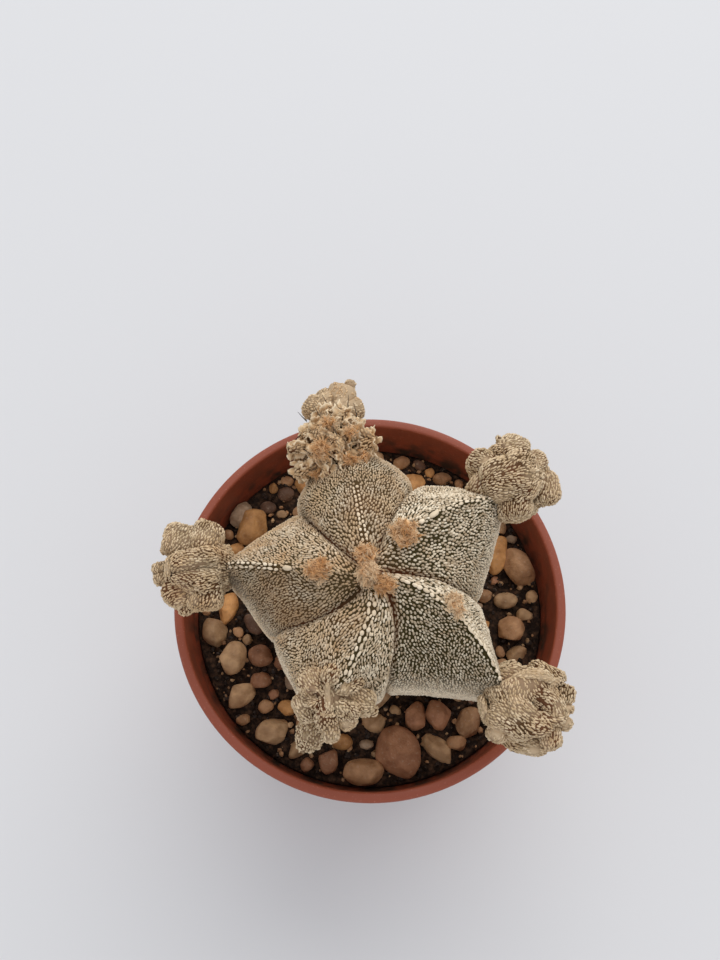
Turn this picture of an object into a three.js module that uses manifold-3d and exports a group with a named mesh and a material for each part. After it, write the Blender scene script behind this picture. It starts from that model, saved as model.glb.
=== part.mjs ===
// A five-ribbed bishop's cap cactus with seven offsets, in a round nursery pot topped with gravel.
// Millimetres, +Z up, origin at the centre of the pot's underside. +Y points to the top of the picture.
import * as THREE from 'three';
import { mergeVertices } from 'three/addons/utils/BufferGeometryUtils.js';
import Module from 'manifold-3d';

const wasm = await Module();
wasm.setup();

// Driving dimensions
const POT_RADIUS = 27.5;
const POT_HEIGHT = 48;
const BASE_RADIUS = 19.5;
const WALL = 1.1;
const COLLAR_BOTTOM = 39.5;
const COLLAR_RADIUS = 26.7;
const COLLAR_STEP = 1.3;
const LEDGE_TOP = 40.7;
const LIP_DROP = 1.4;
const GAP = 0.3;
const SOIL_BOTTOM = 1.7;
const SOIL_TOP = 39.5;
const GRAVEL_BED = 1.5;
const BODY_OFFSET = -2.3;
const BODY_TOP = 71.5;
const SHOULDER = 58;
const NECK = 40;
const NECK_RADIUS = 7;
const ROOT_BOTTOM = 29;
const CROWN_DIMPLE = 1.6;
const VALLEY_DROP = 2;
const NECK_NOTCH = 0.7;
const FLECK = 0.22;

// Details of the pot
const FLOOR = 1.3;
const FLOOR_ROUND = 0.8;
const LEDGE_BOTTOM = COLLAR_BOTTOM - 0.5;
const LIP_ROUND = 0.5;
const LIP_EASE = 0.1;
const DRAIN_HOLES = { count: 8, ring: 14, radius: 2.2, sides: 12 };

// Room left between solids that curve differently
const WALL_SLACK = GAP + 0.1;
const BODY_SLACK = GAP + 0.12;

// Ribs of the main head and the valley that follows each, by angle from +X at the tip, reach from the
// head's axis, how far each winds on towards the centre, and how much a rib's two flanks swell
const BODY_RIBS = [
  { azimuth: 35, reach: 22, twist: 20, swell: [0.22, 0.42] },
  { azimuth: 97.5, reach: 20.1, twist: 5, swell: [0.7, 0.68] },
  { azimuth: 170, reach: 20, twist: 14, swell: [0.22, 0.22] },
  { azimuth: 248, reach: 17.8, twist: 30, swell: [0.2, 0.34] },
  { azimuth: 322, reach: 21.3, twist: 30, swell: [0.03, 0.26] },
];
const BODY_VALLEYS = [
  { azimuth: 68, reach: 14.8, twist: 8 },
  { azimuth: 131, reach: 14.2, twist: 15 },
  { azimuth: 204, reach: 13.6, twist: 40 },
  { azimuth: 279, reach: 12.2, twist: 42 },
  { azimuth: 356, reach: 13.2, twist: 8 },
];

// Offsets: where the foot sits, the way the head grows and how long it is, its lobes by angle from its
// upper side and reach, how deep the furrows go between them, and how high its scales stand
const OFFSETS = [
  {
    name: 'offset_left', foot: [-19.3, 1.2, 60], grow: [-1, 0, 0.05],
    length: 7.9, notch: 0.72, scales: 0.22,
    lobes: [[0, 5.2], [50, 6.2], [112, 5.6], [180, 5], [246, 5.6], [310, 6.1]],
  },
  {
    name: 'offset_top', foot: [-4, 14, 59.5], grow: [-0.2, 0.7, 0.75],
    length: 10, notch: 0.8, scales: 0.55,
    lobes: [[10, 5.4], [62, 5.6], [112, 5.2], [165, 5.6], [215, 5.2], [264, 5.6], [316, 5.3]],
  },
  {
    name: 'offset_top_low', foot: [-5.2, 21.8, 57.5], grow: [0, 1, -0.15],
    length: 7.2, notch: 0.74, scales: 0.14,
    lobes: [[38, 4.1], [110, 3.8], [180, 3.5], [250, 3.8], [324, 4.1]],
  },
  {
    name: 'offset_upper_right', foot: [16.4, 11, 59], grow: [0.65, 0.5, 0.6],
    length: 9.7, notch: 0.68, scales: 0.22,
    lobes: [[345, 5.8], [46, 6.2], [122, 6.2], [179, 5.8], [233, 6.2], [290, 6]],
  },
  {
    name: 'offset_lower_right', foot: [15.9, -14.5, 58.6], grow: [0.8, -0.55, 0.25],
    length: 10.1, notch: 0.7, scales: 0.22,
    lobes: [[38, 6.2], [92, 5.8], [150, 5.4], [208, 5.3], [265, 5.5], [318, 6]],
  },
  {
    name: 'offset_bottom', foot: [-4.4, -14.2, 62], grow: [-0.15, -0.45, 0.88],
    length: 6.6, notch: 0.58, scales: 0.3,
    lobes: [[10, 4.9], [76, 5.3], [128, 5], [182, 6], [248, 5.6], [300, 4.9]],
  },
  {
    name: 'offset_bottom_small', foot: [-6.6, -17, 55.6], grow: [-0.35, -0.9, 0.1],
    length: 5.3, notch: 0.92, scales: 0.1,
    lobes: [[0, 1.95], [120, 1.85], [240, 1.85]],
  },
];

// Tufts of wool: where each sits on the flesh, and how far it spreads
const CROWN_TUFTS = [
  { at: [-0.3, -1.9, 71.4], spread: [1.8, 2.3, 1.5] },
  { at: [1.5, -3.9, 71], spread: [1.2, 1.1, 1] },
];
const AREOLE_TUFTS = [
  { name: 'areole_wool_left', at: [-6.4, -2.1, 70.6], spread: [1.6, 1.6, 1.1] },
  { name: 'areole_wool_upper_right', at: [3.9, 2.3, 71], spread: [1.9, 1.9, 1.3] },
  { name: 'areole_wool_lower_right', at: [9.7, -6.1, 69.4], spread: [1.3, 1.5, 1.1] },
];

// Pebbles that the picture shows plainly: place, length, width and the turn of the long side
const PEBBLES = [
  [3.8, -20.6, 7.4, 6.4, 100],
  [-1, -23, 5.8, 3.8, 0],
  [-13.8, -17.6, 5, 3.8, 25],
  [-18.4, -12.6, 4.6, 3.4, 30],
  [-19.8, -7.4, 5, 4, 70],
  [-22.4, -3.6, 5, 3.8, 110],
  [-20.6, -0.2, 5.2, 3, 85],
  [-17.6, 12.4, 5.8, 5, 60],
  [-19.4, 14.4, 5, 3.4, 80],
  [-20.2, 9, 3, 2.4, 0],
  [-15.4, 15.5, 2.6, 2.2, 0],
  [5, 23, 2.8, 2.2, 20],
  [2.6, 21.2, 2.4, 2, 0],
  [6.8, 19.4, 3.8, 3.4, 40],
  [11.2, 20.2, 3, 2.2, 0],
  [18.9, 8, 6.4, 3.4, 75],
  [22.2, 6, 7, 4.4, 120],
  [20, 1.2, 3.6, 2.6, 0],
  [20.4, -3.2, 4.4, 4, 0],
  [22.6, -1, 2.6, 2.2, 0],
  [21.2, -6.6, 3.4, 2.4, 10],
  [17, 1.8, 2.4, 2, 0],
  [6.4, -15.6, 4.6, 3.4, 100],
  [9.6, -15.4, 4.8, 3.8, 150],
  [14, -16.4, 4.6, 4, 60],
  [9.6, -20, 5.6, 3, 140],
  [12.2, -19.2, 3, 2.6, 0],
  [-5.8, -21.6, 3.6, 3, 80],
  [-11.8, -14.4, 2.8, 2.4, 0],
  [-15.6, -7, 3.6, 3.2, 0],
  [-15.6, -10.6, 3.2, 2.8, 0],
  [-12.6, 17.6, 2.8, 2.4, 0],
];
const FILL_PEBBLES = 22;
const FILL_RINGS = [14.8, 18.8, 23.2];
const FILL_SPREAD = 1.6;
const TALLEST_PEBBLE = 4.2;
const PEBBLE_LUMP = 0.05;
const FINER_PEBBLE = 3.2;
const GRAVEL_SEED = 7;

// How an offset's head is shaped, as shares of its length and reach
const OFFSET_SHAPE = {
  dimple: 0.14,
  drop: 0.1,
  shoulder: 0.42,
  neck: 0.72,
  neckNotch: 0.85,
  twist: 12,
  swell: 0.8,
};
const OFFSET_ROOT = 1.6;
const TUFT_CRUMPLE = 0.09;
const CROWN_SEED = 40;
const AREOLE_SEED = 50;

// Fineness
const POT_SIDES = 48;
const BODY_STEPS = 7;
const BODY_ROWS = [16, 11, 2];
const CLEARANCE_STEPS = 4;
const CLEARANCE_ROWS = [9, 7, 1];
const OFFSET_STEPS = 3;
const OFFSET_ROWS = [5, 4, 1];

const DEGREE = Math.PI / 180;

// Seeded random numbers from 0 to 1
function seeded(seed) {
  let state = seed;
  return () => {
    state = (state * 1664525 + 1013904223) % 4294967296;
    return state / 4294967296;
  };
}

// A lathe round the Z axis
function lathe(points, sides) {
  const profile = points.map(([radius, z]) => new THREE.Vector2(radius, z));
  return new THREE.LatheGeometry(profile, sides).rotateX(Math.PI / 2);
}

// Solids from meshes and back
function weld(geometry) {
  const bare = geometry.clone();
  bare.deleteAttribute('normal');
  bare.deleteAttribute('uv');
  return mergeVertices(bare, 1e-4);
}

function solidOf(geometry) {
  const welded = weld(geometry);
  return new wasm.Manifold(new wasm.Mesh({
    numProp: 3,
    vertProperties: new Float32Array(welded.attributes.position.array),
    triVerts: new Uint32Array(welded.index.array),
  }));
}

function geometryOf(solid) {
  const mesh = solid.getMesh();
  const geometry = new THREE.BufferGeometry();
  geometry.setAttribute('position', new THREE.BufferAttribute(mesh.vertProperties, 3));
  geometry.setIndex(new THREE.BufferAttribute(mesh.triVerts, 1));
  geometry.computeVertexNormals();
  return geometry;
}

// The largest of a solid's separate bodies, so that a cut leaves no loose scrap
function largest(solid) {
  const bodies = solid.decompose();
  return bodies.reduce((best, body) => (body.volume() > best.volume() ? body : best));
}

// A ribbed head: a closed surface round the Z axis whose ribs and valleys each have a line from the
// crown (row 0) over the shoulder (row 1) and in to the neck (row 2), and a rounded root below it
function meridian(head, reach, neckRadius, row) {
  const turn = (row % 1) * Math.PI / 2;
  if (row < 1) {
    const dimple = head.dimple * (1 - Math.sin(turn)) ** 4;
    return [reach * Math.sin(turn), head.shoulder + (head.top - head.shoulder) * Math.cos(turn) - dimple];
  }
  if (row < 2) {
    const radius = neckRadius + (reach - neckRadius) * Math.cos(turn);
    return [radius, head.shoulder - (head.shoulder - head.neck) * Math.sin(turn)];
  }
  return [neckRadius * Math.cos(turn), head.neck - (head.neck - head.bottom) * Math.sin(turn)];
}

// How near a point lies to the rib's crest line, 1 on it and 0 in the valley: nearly straight flanks
// that swell out close to the valley and meet there in a crease
function ribWeight(across, swell) {
  return (1 - swell) * (1 - across) ** 2.4 + swell * Math.sqrt(1 - across * across);
}

function headColumns(head, steps) {
  const columns = [];
  head.ribs.forEach((rib, i) => {
    const next = head.ribs[(i + 1) % head.ribs.length];
    const valley = head.valleys[i];
    for (let k = 0; k < steps; k++) {
      columns.push({ rib, valley, swell: rib.swell[1], across: k / steps });
    }
    for (let k = 0; k < steps; k++) {
      columns.push({ rib: next, valley, swell: next.swell[0], across: 1 - k / steps });
    }
  });
  return columns;
}

function headPoint(head, column, row) {
  const inward = row < 1 ? (1 - Math.sin(row * Math.PI / 2)) ** 1.3 : 0;
  const crest = column.rib.azimuth + column.rib.twist * inward;
  const low = column.valley.azimuth + column.valley.twist * inward;
  const span = ((low - crest + 540) % 360) - 180;
  const azimuth = (crest + span * column.across) * DEGREE;
  const weight = ribWeight(column.across, column.swell + (1 - column.swell) * 0.35 * inward);
  const ridge = meridian(head, column.rib.reach, head.neckRadius, row);
  const furrow = meridian(head, column.valley.reach, head.neckRadius * head.neckNotch, row);
  const radius = furrow[0] + (ridge[0] - furrow[0]) * weight;
  const drop = row < 1 ? head.drop * Math.sin(Math.PI * row) : 0;
  const height = furrow[1] - drop + (ridge[1] - furrow[1] + drop) * weight;
  return new THREE.Vector3(radius * Math.cos(azimuth), radius * Math.sin(azimuth), height);
}

function headGeometry(head, steps, rows) {
  const columns = headColumns(head, steps);
  const levels = [];
  rows.forEach((count, part) => {
    for (let k = 0; k < count; k++) levels.push(part + k / count);
  });
  levels.shift();
  const points = [new THREE.Vector3(0, 0, head.top - head.dimple)];
  levels.forEach((row) => columns.forEach((column) => points.push(headPoint(head, column, row))));
  points.push(new THREE.Vector3(0, 0, head.bottom));
  const around = columns.length;
  const index = [];
  for (let c = 0; c < around; c++) {
    const next = (c + 1) % around;
    index.push(0, 1 + c, 1 + next);
    for (let r = 0; r + 1 < levels.length; r++) {
      const a = 1 + r * around + c;
      const b = 1 + r * around + next;
      if ((r + c) % 2 === 0) index.push(a, a + around, b, b, a + around, b + around);
      else index.push(a, a + around, b + around, a, b + around, b);
    }
    const last = 1 + (levels.length - 1) * around;
    index.push(points.length - 1, last + next, last + c);
  }
  const geometry = new THREE.BufferGeometry().setFromPoints(points);
  geometry.setIndex(index);
  geometry.computeVertexNormals();
  return geometry;
}

// Moves every vertex out along its normal, by an amount that may differ from vertex to vertex
function grown(geometry, amount) {
  const result = geometry.clone();
  const place = result.attributes.position;
  const normal = geometry.attributes.normal;
  for (let i = 0; i < place.count; i++) {
    const step = amount(i);
    place.setXYZ(
      i,
      place.getX(i) + normal.getX(i) * step,
      place.getY(i) + normal.getY(i) * step,
      place.getZ(i) + normal.getZ(i) * step,
    );
  }
  return result;
}

// The white flecks, larger than life: every other vertex of the skin stands out as a small point
function flecked(geometry, around, height) {
  return grown(geometry, (i) => {
    const row = Math.floor((i - 1) / around);
    const column = (i - 1) % around;
    return i > 0 && (row + column) % 2 === 0 ? height : 0;
  });
}

// The main head
const bodyHead = {
  ribs: BODY_RIBS,
  valleys: BODY_VALLEYS,
  top: BODY_TOP,
  dimple: CROWN_DIMPLE,
  drop: VALLEY_DROP,
  shoulder: SHOULDER,
  neck: NECK,
  neckRadius: NECK_RADIUS,
  neckNotch: NECK_NOTCH,
  bottom: ROOT_BOTTOM,
};
const bodyPlain = headGeometry(bodyHead, BODY_STEPS, BODY_ROWS).translate(0, BODY_OFFSET, 0);
const bodyFlecked = flecked(bodyPlain, BODY_RIBS.length * 2 * BODY_STEPS, FLECK);
const bodyCoarse = headGeometry(bodyHead, CLEARANCE_STEPS, CLEARANCE_ROWS).translate(0, BODY_OFFSET, 0);
const bodyClearance = solidOf(grown(bodyCoarse, () => FLECK + BODY_SLACK));

// The pot: an open shell with a stepped collar, a rounded lip and a ring of drain holes
const wallRadius = (z) => BASE_RADIUS + (COLLAR_RADIUS - COLLAR_STEP - BASE_RADIUS) * z / COLLAR_BOTTOM;

// Inside, the wall steps out over a ledge at the collar
function innerRadius(z) {
  const lipInner = POT_RADIUS - LIP_DROP;
  const collarInner = COLLAR_RADIUS - WALL;
  const bodyInner = wallRadius(LEDGE_BOTTOM) - WALL;
  const upLedge = (z - LEDGE_BOTTOM) / (LEDGE_TOP - LEDGE_BOTTOM);
  const upCollar = (z - LEDGE_TOP) / (POT_HEIGHT - LEDGE_TOP);
  if (upLedge <= 0) return wallRadius(z) - WALL;
  if (upCollar >= 0) return collarInner + (lipInner - collarInner) * upCollar;
  return bodyInner + (collarInner - bodyInner) * upLedge;
}

const potInside = (z) => innerRadius(z) - WALL_SLACK;

function potProfile() {
  const lipInner = POT_RADIUS - LIP_DROP;
  return [
    [0, 0],
    [BASE_RADIUS - FLOOR_ROUND, 0],
    [wallRadius(FLOOR_ROUND), FLOOR_ROUND],
    [wallRadius(COLLAR_BOTTOM), COLLAR_BOTTOM],
    [COLLAR_RADIUS, COLLAR_BOTTOM + LIP_ROUND],
    [POT_RADIUS - LIP_EASE, POT_HEIGHT - 2 * LIP_ROUND],
    [POT_RADIUS, POT_HEIGHT - LIP_ROUND],
    [POT_RADIUS - 3 * LIP_EASE, POT_HEIGHT - LIP_EASE],
    [POT_RADIUS - LIP_ROUND - LIP_EASE, POT_HEIGHT],
    [lipInner + 3 * LIP_EASE, POT_HEIGHT - LIP_EASE],
    [lipInner, POT_HEIGHT - LIP_ROUND],
    [innerRadius(LEDGE_TOP), LEDGE_TOP],
    [innerRadius(LEDGE_BOTTOM), LEDGE_BOTTOM],
    [BASE_RADIUS - WALL, FLOOR + FLOOR_ROUND],
    [BASE_RADIUS - WALL - FLOOR_ROUND, FLOOR],
    [0, FLOOR],
  ];
}

function potSolid() {
  const { count, ring, radius, sides } = DRAIN_HOLES;
  let pot = solidOf(lathe(potProfile(), POT_SIDES));
  for (let i = 0; i < count; i++) {
    const angle = (i + 0.5) * 2 * Math.PI / count;
    const hole = new THREE.CylinderGeometry(radius, radius, 3 * FLOOR, sides);
    hole.rotateX(Math.PI / 2);
    hole.translate(ring * Math.cos(angle), ring * Math.sin(angle), FLOOR / 2);
    pot = pot.subtract(solidOf(hole));
  }
  return pot;
}

// The soil, with a plain hole for the root
function soilSolid() {
  const fill = [
    [0, SOIL_BOTTOM],
    [potInside(SOIL_BOTTOM) - 1, SOIL_BOTTOM],
    [potInside(SOIL_BOTTOM + 1), SOIL_BOTTOM + 1],
    [potInside(LEDGE_BOTTOM), LEDGE_BOTTOM],
    [potInside(SOIL_TOP), SOIL_TOP],
    [0, SOIL_TOP],
  ];
  const holeRadius = NECK_RADIUS + FLECK + GAP;
  const hole = [
    [0, ROOT_BOTTOM - 1],
    [holeRadius, ROOT_BOTTOM - 1],
    [holeRadius, POT_HEIGHT],
    [0, POT_HEIGHT],
  ];
  const rootHole = lathe(hole, POT_SIDES / 2).translate(0, BODY_OFFSET, 0);
  return solidOf(lathe(fill, POT_SIDES)).subtract(solidOf(rootHole));
}

// The gravel: rounded pebbles half sunk in a thin bed of grit
function pebbleGeometry(pebble, [x, y, length, width, turn], random) {
  const lumps = [random() * 6, random() * 6, random() * 6];
  const place = pebble.attributes.position;
  for (let i = 0; i < place.count; i++) {
    const p = new THREE.Vector3().fromBufferAttribute(place, i);
    const lump = Math.sin(2 * p.x + lumps[0]) + Math.sin(2 * p.y + lumps[1]) + Math.sin(2 * p.z + lumps[2]);
    p.multiplyScalar(1 + PEBBLE_LUMP * lump);
    place.setXYZ(i, p.x, p.y, p.z);
  }
  const height = Math.min(width, TALLEST_PEBBLE) * (0.75 + 0.2 * random());
  pebble.rotateZ(random() * 6);
  pebble.scale(length / 2, width / 2, height / 2);
  pebble.rotateX((random() - 0.5) * 0.5);
  pebble.rotateZ(turn * DEGREE);
  const sunk = 0.25 + 0.2 * random();
  pebble.translate(x, y, SOIL_TOP + GAP + GRAVEL_BED + height * (0.5 - sunk));
  return pebble;
}

function gravelSolid() {
  const random = seeded(GRAVEL_SEED);
  const top = SOIL_TOP + GAP + GRAVEL_BED;
  const ring = [
    [0, SOIL_TOP + GAP],
    [potInside(SOIL_TOP + GAP), SOIL_TOP + GAP],
    [potInside(LEDGE_TOP), LEDGE_TOP],
    [potInside(LEDGE_TOP), top],
    [0, top],
  ];
  const bed = lathe(ring, POT_SIDES);
  const blank = (length) => {
    const finer = length > FINER_PEBBLE;
    return finer ? new THREE.IcosahedronGeometry(1, 1) : new THREE.OctahedronGeometry(1, 1);
  };
  const stones = PEBBLES.map((row) => pebbleGeometry(blank(row[2]), row, random));
  for (let i = 0; i < FILL_PEBBLES; i++) {
    const radius = FILL_RINGS[i % FILL_RINGS.length] + (random() - 0.5) * FILL_SPREAD;
    const angle = (i + random() * 0.6) * 2 * Math.PI / FILL_PEBBLES * FILL_RINGS.length;
    const size = 2.6 + 1.4 * random();
    const row = [radius * Math.cos(angle), radius * Math.sin(angle), size * 1.2, size, random() * 180];
    stones.push(pebbleGeometry(blank(size), row, random));
  }
  const pile = wasm.Manifold.union([solidOf(bed), ...stones.map(solidOf)]);
  const potSpace = lathe([
    [0, SOIL_TOP + GAP],
    [potInside(SOIL_TOP + GAP), SOIL_TOP + GAP],
    [potInside(LEDGE_TOP), LEDGE_TOP],
    [potInside(POT_HEIGHT), POT_HEIGHT],
    [0, POT_HEIGHT],
  ], POT_SIDES);
  return largest(pile.intersect(solidOf(potSpace)).subtract(bodyClearance));
}

// An offset: a small ribbed head with a broad foot and its own uneven lobes
function offsetHead(offset) {
  const count = offset.lobes.length;
  const { dimple, drop, shoulder, neck, neckNotch, twist, swell } = OFFSET_SHAPE;
  const line = (azimuth, reach) => ({ azimuth, reach, twist, swell: [swell, swell] });
  return {
    ribs: offset.lobes.map(([azimuth, reach]) => line(azimuth, reach)),
    valleys: offset.lobes.map(([azimuth, reach], i) => {
      const [nextAzimuth, nextReach] = offset.lobes[(i + 1) % count];
      const step = (nextAzimuth - azimuth + 360) % 360;
      return line(azimuth + step / 2, offset.notch * (reach + nextReach) / 2);
    }),
    top: offset.length,
    dimple: offset.length * dimple,
    drop: offset.length * drop,
    shoulder: offset.length * shoulder,
    neck: 0,
    neckRadius: offset.lobes[0][1] * neck,
    neckNotch,
    bottom: -OFFSET_ROOT,
  };
}

// Turns a head from +Z to the way it grows, with angle 0 of its lobes on the upper side
function placed(geometry, offset) {
  const grow = new THREE.Vector3(...offset.grow).normalize();
  const side = new THREE.Vector3().crossVectors(grow, new THREE.Vector3(0, 0, 1)).normalize();
  const upper = new THREE.Vector3().crossVectors(side, grow);
  const frame = new THREE.Matrix4().makeBasis(upper, side, grow);
  return geometry.applyMatrix4(frame).translate(...offset.foot);
}

function offsetShapes() {
  return OFFSETS.map((offset) => {
    const plain = placed(headGeometry(offsetHead(offset), OFFSET_STEPS, OFFSET_ROWS), offset);
    const around = offset.lobes.length * 2 * OFFSET_STEPS;
    return { offset, plain, skin: flecked(plain, around, offset.scales) };
  });
}

// A tuft of wool: a low cushion with a crumpled surface
function tuftGeometry({ at, spread }, seed) {
  const random = seeded(seed);
  const waves = [0, 1, 2].map(() => [4 + 3 * random(), random() * 6]);
  const tuft = new THREE.IcosahedronGeometry(1, 3);
  const place = tuft.attributes.position;
  for (let i = 0; i < place.count; i++) {
    const p = new THREE.Vector3().fromBufferAttribute(place, i);
    const crumple = waves.reduce((sum, [pitch, phase], axis) => {
      return sum + Math.sin(pitch * p.getComponent(axis) + phase);
    }, 0);
    p.multiplyScalar(1 + TUFT_CRUMPLE * crumple);
    place.setXYZ(i, p.x, p.y, p.z);
  }
  return tuft.scale(...spread).translate(...at);
}

// Assembly
const COLOURS = {
  pot: [0x9a4634, 0.55],
  soil: [0x2a1e17, 0.95],
  gravel: [0x9a6f4a, 0.7],
  flesh: [0x8f8672, 0.85],
  offset: [0xa5926f, 0.85],
  wool: [0xb98a5c, 1],
};

const part = new THREE.Group();

function add(name, geometry, [colour, roughness]) {
  const material = new THREE.MeshStandardMaterial({ color: colour, roughness, metalness: 0 });
  const mesh = new THREE.Mesh(geometry, material);
  mesh.name = name;
  part.add(mesh);
}

add('pot', geometryOf(potSolid()), COLOURS.pot);
add('soil', geometryOf(soilSolid()), COLOURS.soil);
add('gravel', geometryOf(gravelSolid()), COLOURS.gravel);
add('cactus_body', bodyFlecked, COLOURS.flesh);

// Each offset is cut back to clear the main head and the offsets before it
let taken = bodyClearance;
for (const { offset, plain, skin } of offsetShapes()) {
  add(offset.name, geometryOf(largest(solidOf(skin).subtract(taken))), COLOURS.offset);
  taken = taken.add(solidOf(grown(plain, () => offset.scales + GAP)));
}

const crown = CROWN_TUFTS.map((tuft, i) => solidOf(tuftGeometry(tuft, CROWN_SEED + i)));
add('crown_wool', geometryOf(largest(wasm.Manifold.union(crown).subtract(taken))), COLOURS.wool);
AREOLE_TUFTS.forEach((tuft, i) => {
  const cushion = solidOf(tuftGeometry(tuft, AREOLE_SEED + i));
  add(tuft.name, geometryOf(largest(cushion.subtract(taken))), COLOURS.wool);
});

export default part;
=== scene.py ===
"""The looks of a potted bishop's cap cactus: its skin, flecks and wool, the pot, the soil and the gravel.
Lengths are in millimetres and become metres where a mesh is made. +Z is up, +Y to the picture's top."""

import math
from types import SimpleNamespace

import bmesh
import bpy
import numpy as np
from mathutils import Matrix, Vector, kdtree
from mathutils.bvhtree import BVHTree


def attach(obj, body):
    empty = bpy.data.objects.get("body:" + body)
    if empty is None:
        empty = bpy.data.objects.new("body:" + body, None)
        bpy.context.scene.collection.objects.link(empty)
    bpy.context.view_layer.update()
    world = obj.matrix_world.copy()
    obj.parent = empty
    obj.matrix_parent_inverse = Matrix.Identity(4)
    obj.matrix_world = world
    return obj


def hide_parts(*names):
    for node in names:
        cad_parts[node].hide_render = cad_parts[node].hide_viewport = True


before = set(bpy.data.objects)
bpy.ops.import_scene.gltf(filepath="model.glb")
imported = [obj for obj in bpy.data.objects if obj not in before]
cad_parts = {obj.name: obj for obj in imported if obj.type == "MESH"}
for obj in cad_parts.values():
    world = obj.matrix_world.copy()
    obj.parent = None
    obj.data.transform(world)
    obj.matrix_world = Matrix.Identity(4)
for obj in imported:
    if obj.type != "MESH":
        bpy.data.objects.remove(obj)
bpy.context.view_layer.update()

MM = 0.001

# Seeds of the random draws
BODY_SEED = 5
OFFSET_SEED = 60
WOOL_SEED = 80
TOP_WOOL_SEED = 90
BRISTLE_SEED = 31
GRAVEL_SEED = 17
GRIT_SEED = 23

# Pot: its outer form, the ledge inside its collar, the drain holes in their ring, the roundings of its
# edges, how high earth and painted shade darken its inner wall, and how its mesh is made
POT_RADIUS = 27.5
POT_HEIGHT = 48
BASE_RADIUS = 19.5
WALL = 1.1
COLLAR_BOTTOM = 39.5
COLLAR_RADIUS = 26.7
COLLAR_STEP = 1.3
LIP_DROP = 1.4
BASE_HOLLOW = 0.5
FLOOR_TOP = 1.3
LEDGE_BOTTOM = COLLAR_BOTTOM - 0.5
LEDGE_TOP = 40.7
DRAIN_HOLES = 8
DRAIN_RADIUS = 2.2
DRAIN_RING = 14
FOOT_ROUND = 0.8
COLLAR_ROUND = 0.35
LIP_ROUND = 0.45
LIP_INNER_ROUND = 0.4
EARTH_AND_SHADE_TOP = 46.2
POT_SIDES = 168
DRAIN_SIDES = 28
SHARP_ANGLE = 35

# Fill, with its gap to the wall
SOIL_BOTTOM = 1.7
GROUND = 41.3
WALL_SLACK = 0.4
SOIL_SIDES = 220
SOIL_RINGS = 48

# Crumbs of the soil's top: height, pitch and seed of each size
CRUMBS = [(0.55, 2.2, 3), (0.35, 0.8, 4), (0.15, 0.35, 5)]

# Main head: each rib by its angle from +X at the tip, its reach, how far it winds on towards the centre,
# and the swell of its flanks before and after it. The valley after it has its angle, reach and winding
BODY_OFFSET = -2.3
BODY = {
    "ribs": [(35, 22, 20, 0.22, 0.42), (97.5, 20.1, 5, 0.7, 0.68), (170, 20, 14, 0.22, 0.22),
             (248, 17.8, 30, 0.2, 0.34), (322, 21.3, 30, 0.03, 0.26)],
    "valleys": [(68, 14.8, 8), (131, 14.2, 15), (204, 13.6, 40), (279, 12.2, 42), (356, 13.2, 8)],
    "top": 71.5, "dimple": 1.6, "drop": 2, "shoulder": 58,
    "neck": 40, "neck_radius": 7, "neck_notch": 0.7, "bottom": 29,
}

# Offsets: where the foot sits, the way the head grows, its length, the reach of its furrows as a share of
# its ribs' reach, and its ribs by angle from its upper side and reach
OFFSETS = {
    "offset_left": ((-19.3, 1.2, 60), (-1, 0, 0.05), 7.9, 0.72,
                    [(0, 5.2), (50, 6.2), (112, 5.6), (180, 5), (246, 5.6), (310, 6.1)]),
    "offset_top": ((-4, 14, 59.5), (-0.2, 0.7, 0.75), 10, 0.8,
                   [(10, 5.4), (62, 5.6), (112, 5.2), (165, 5.6), (215, 5.2), (264, 5.6), (316, 5.3)]),
    "offset_top_low": ((-5.2, 21.8, 57.5), (0, 1, -0.15), 7.2, 0.74,
                       [(38, 4.1), (110, 3.8), (180, 3.5), (250, 3.8), (324, 4.1)]),
    "offset_upper_right": ((16.4, 11, 59), (0.65, 0.5, 0.6), 9.7, 0.68,
                           [(345, 5.8), (46, 6.2), (122, 6.2), (179, 5.8), (233, 6.2), (290, 6)]),
    "offset_lower_right": ((15.9, -14.5, 58.6), (0.8, -0.55, 0.25), 10.1, 0.7,
                           [(38, 6.2), (92, 5.8), (150, 5.4), (208, 5.3), (265, 5.5), (318, 6)]),
    "offset_bottom": ((-4.4, -14.2, 62), (-0.15, -0.45, 0.88), 6.6, 0.58,
                      [(10, 4.9), (76, 5.3), (128, 5), (182, 6), (248, 5.6), (300, 4.9)]),
    "offset_bottom_small": ((-6.6, -17, 55.6), (-0.35, -0.9, 0.1), 5.3, 0.92,
                            [(0, 1.95), (120, 1.85), (240, 1.85)]),
}

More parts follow.
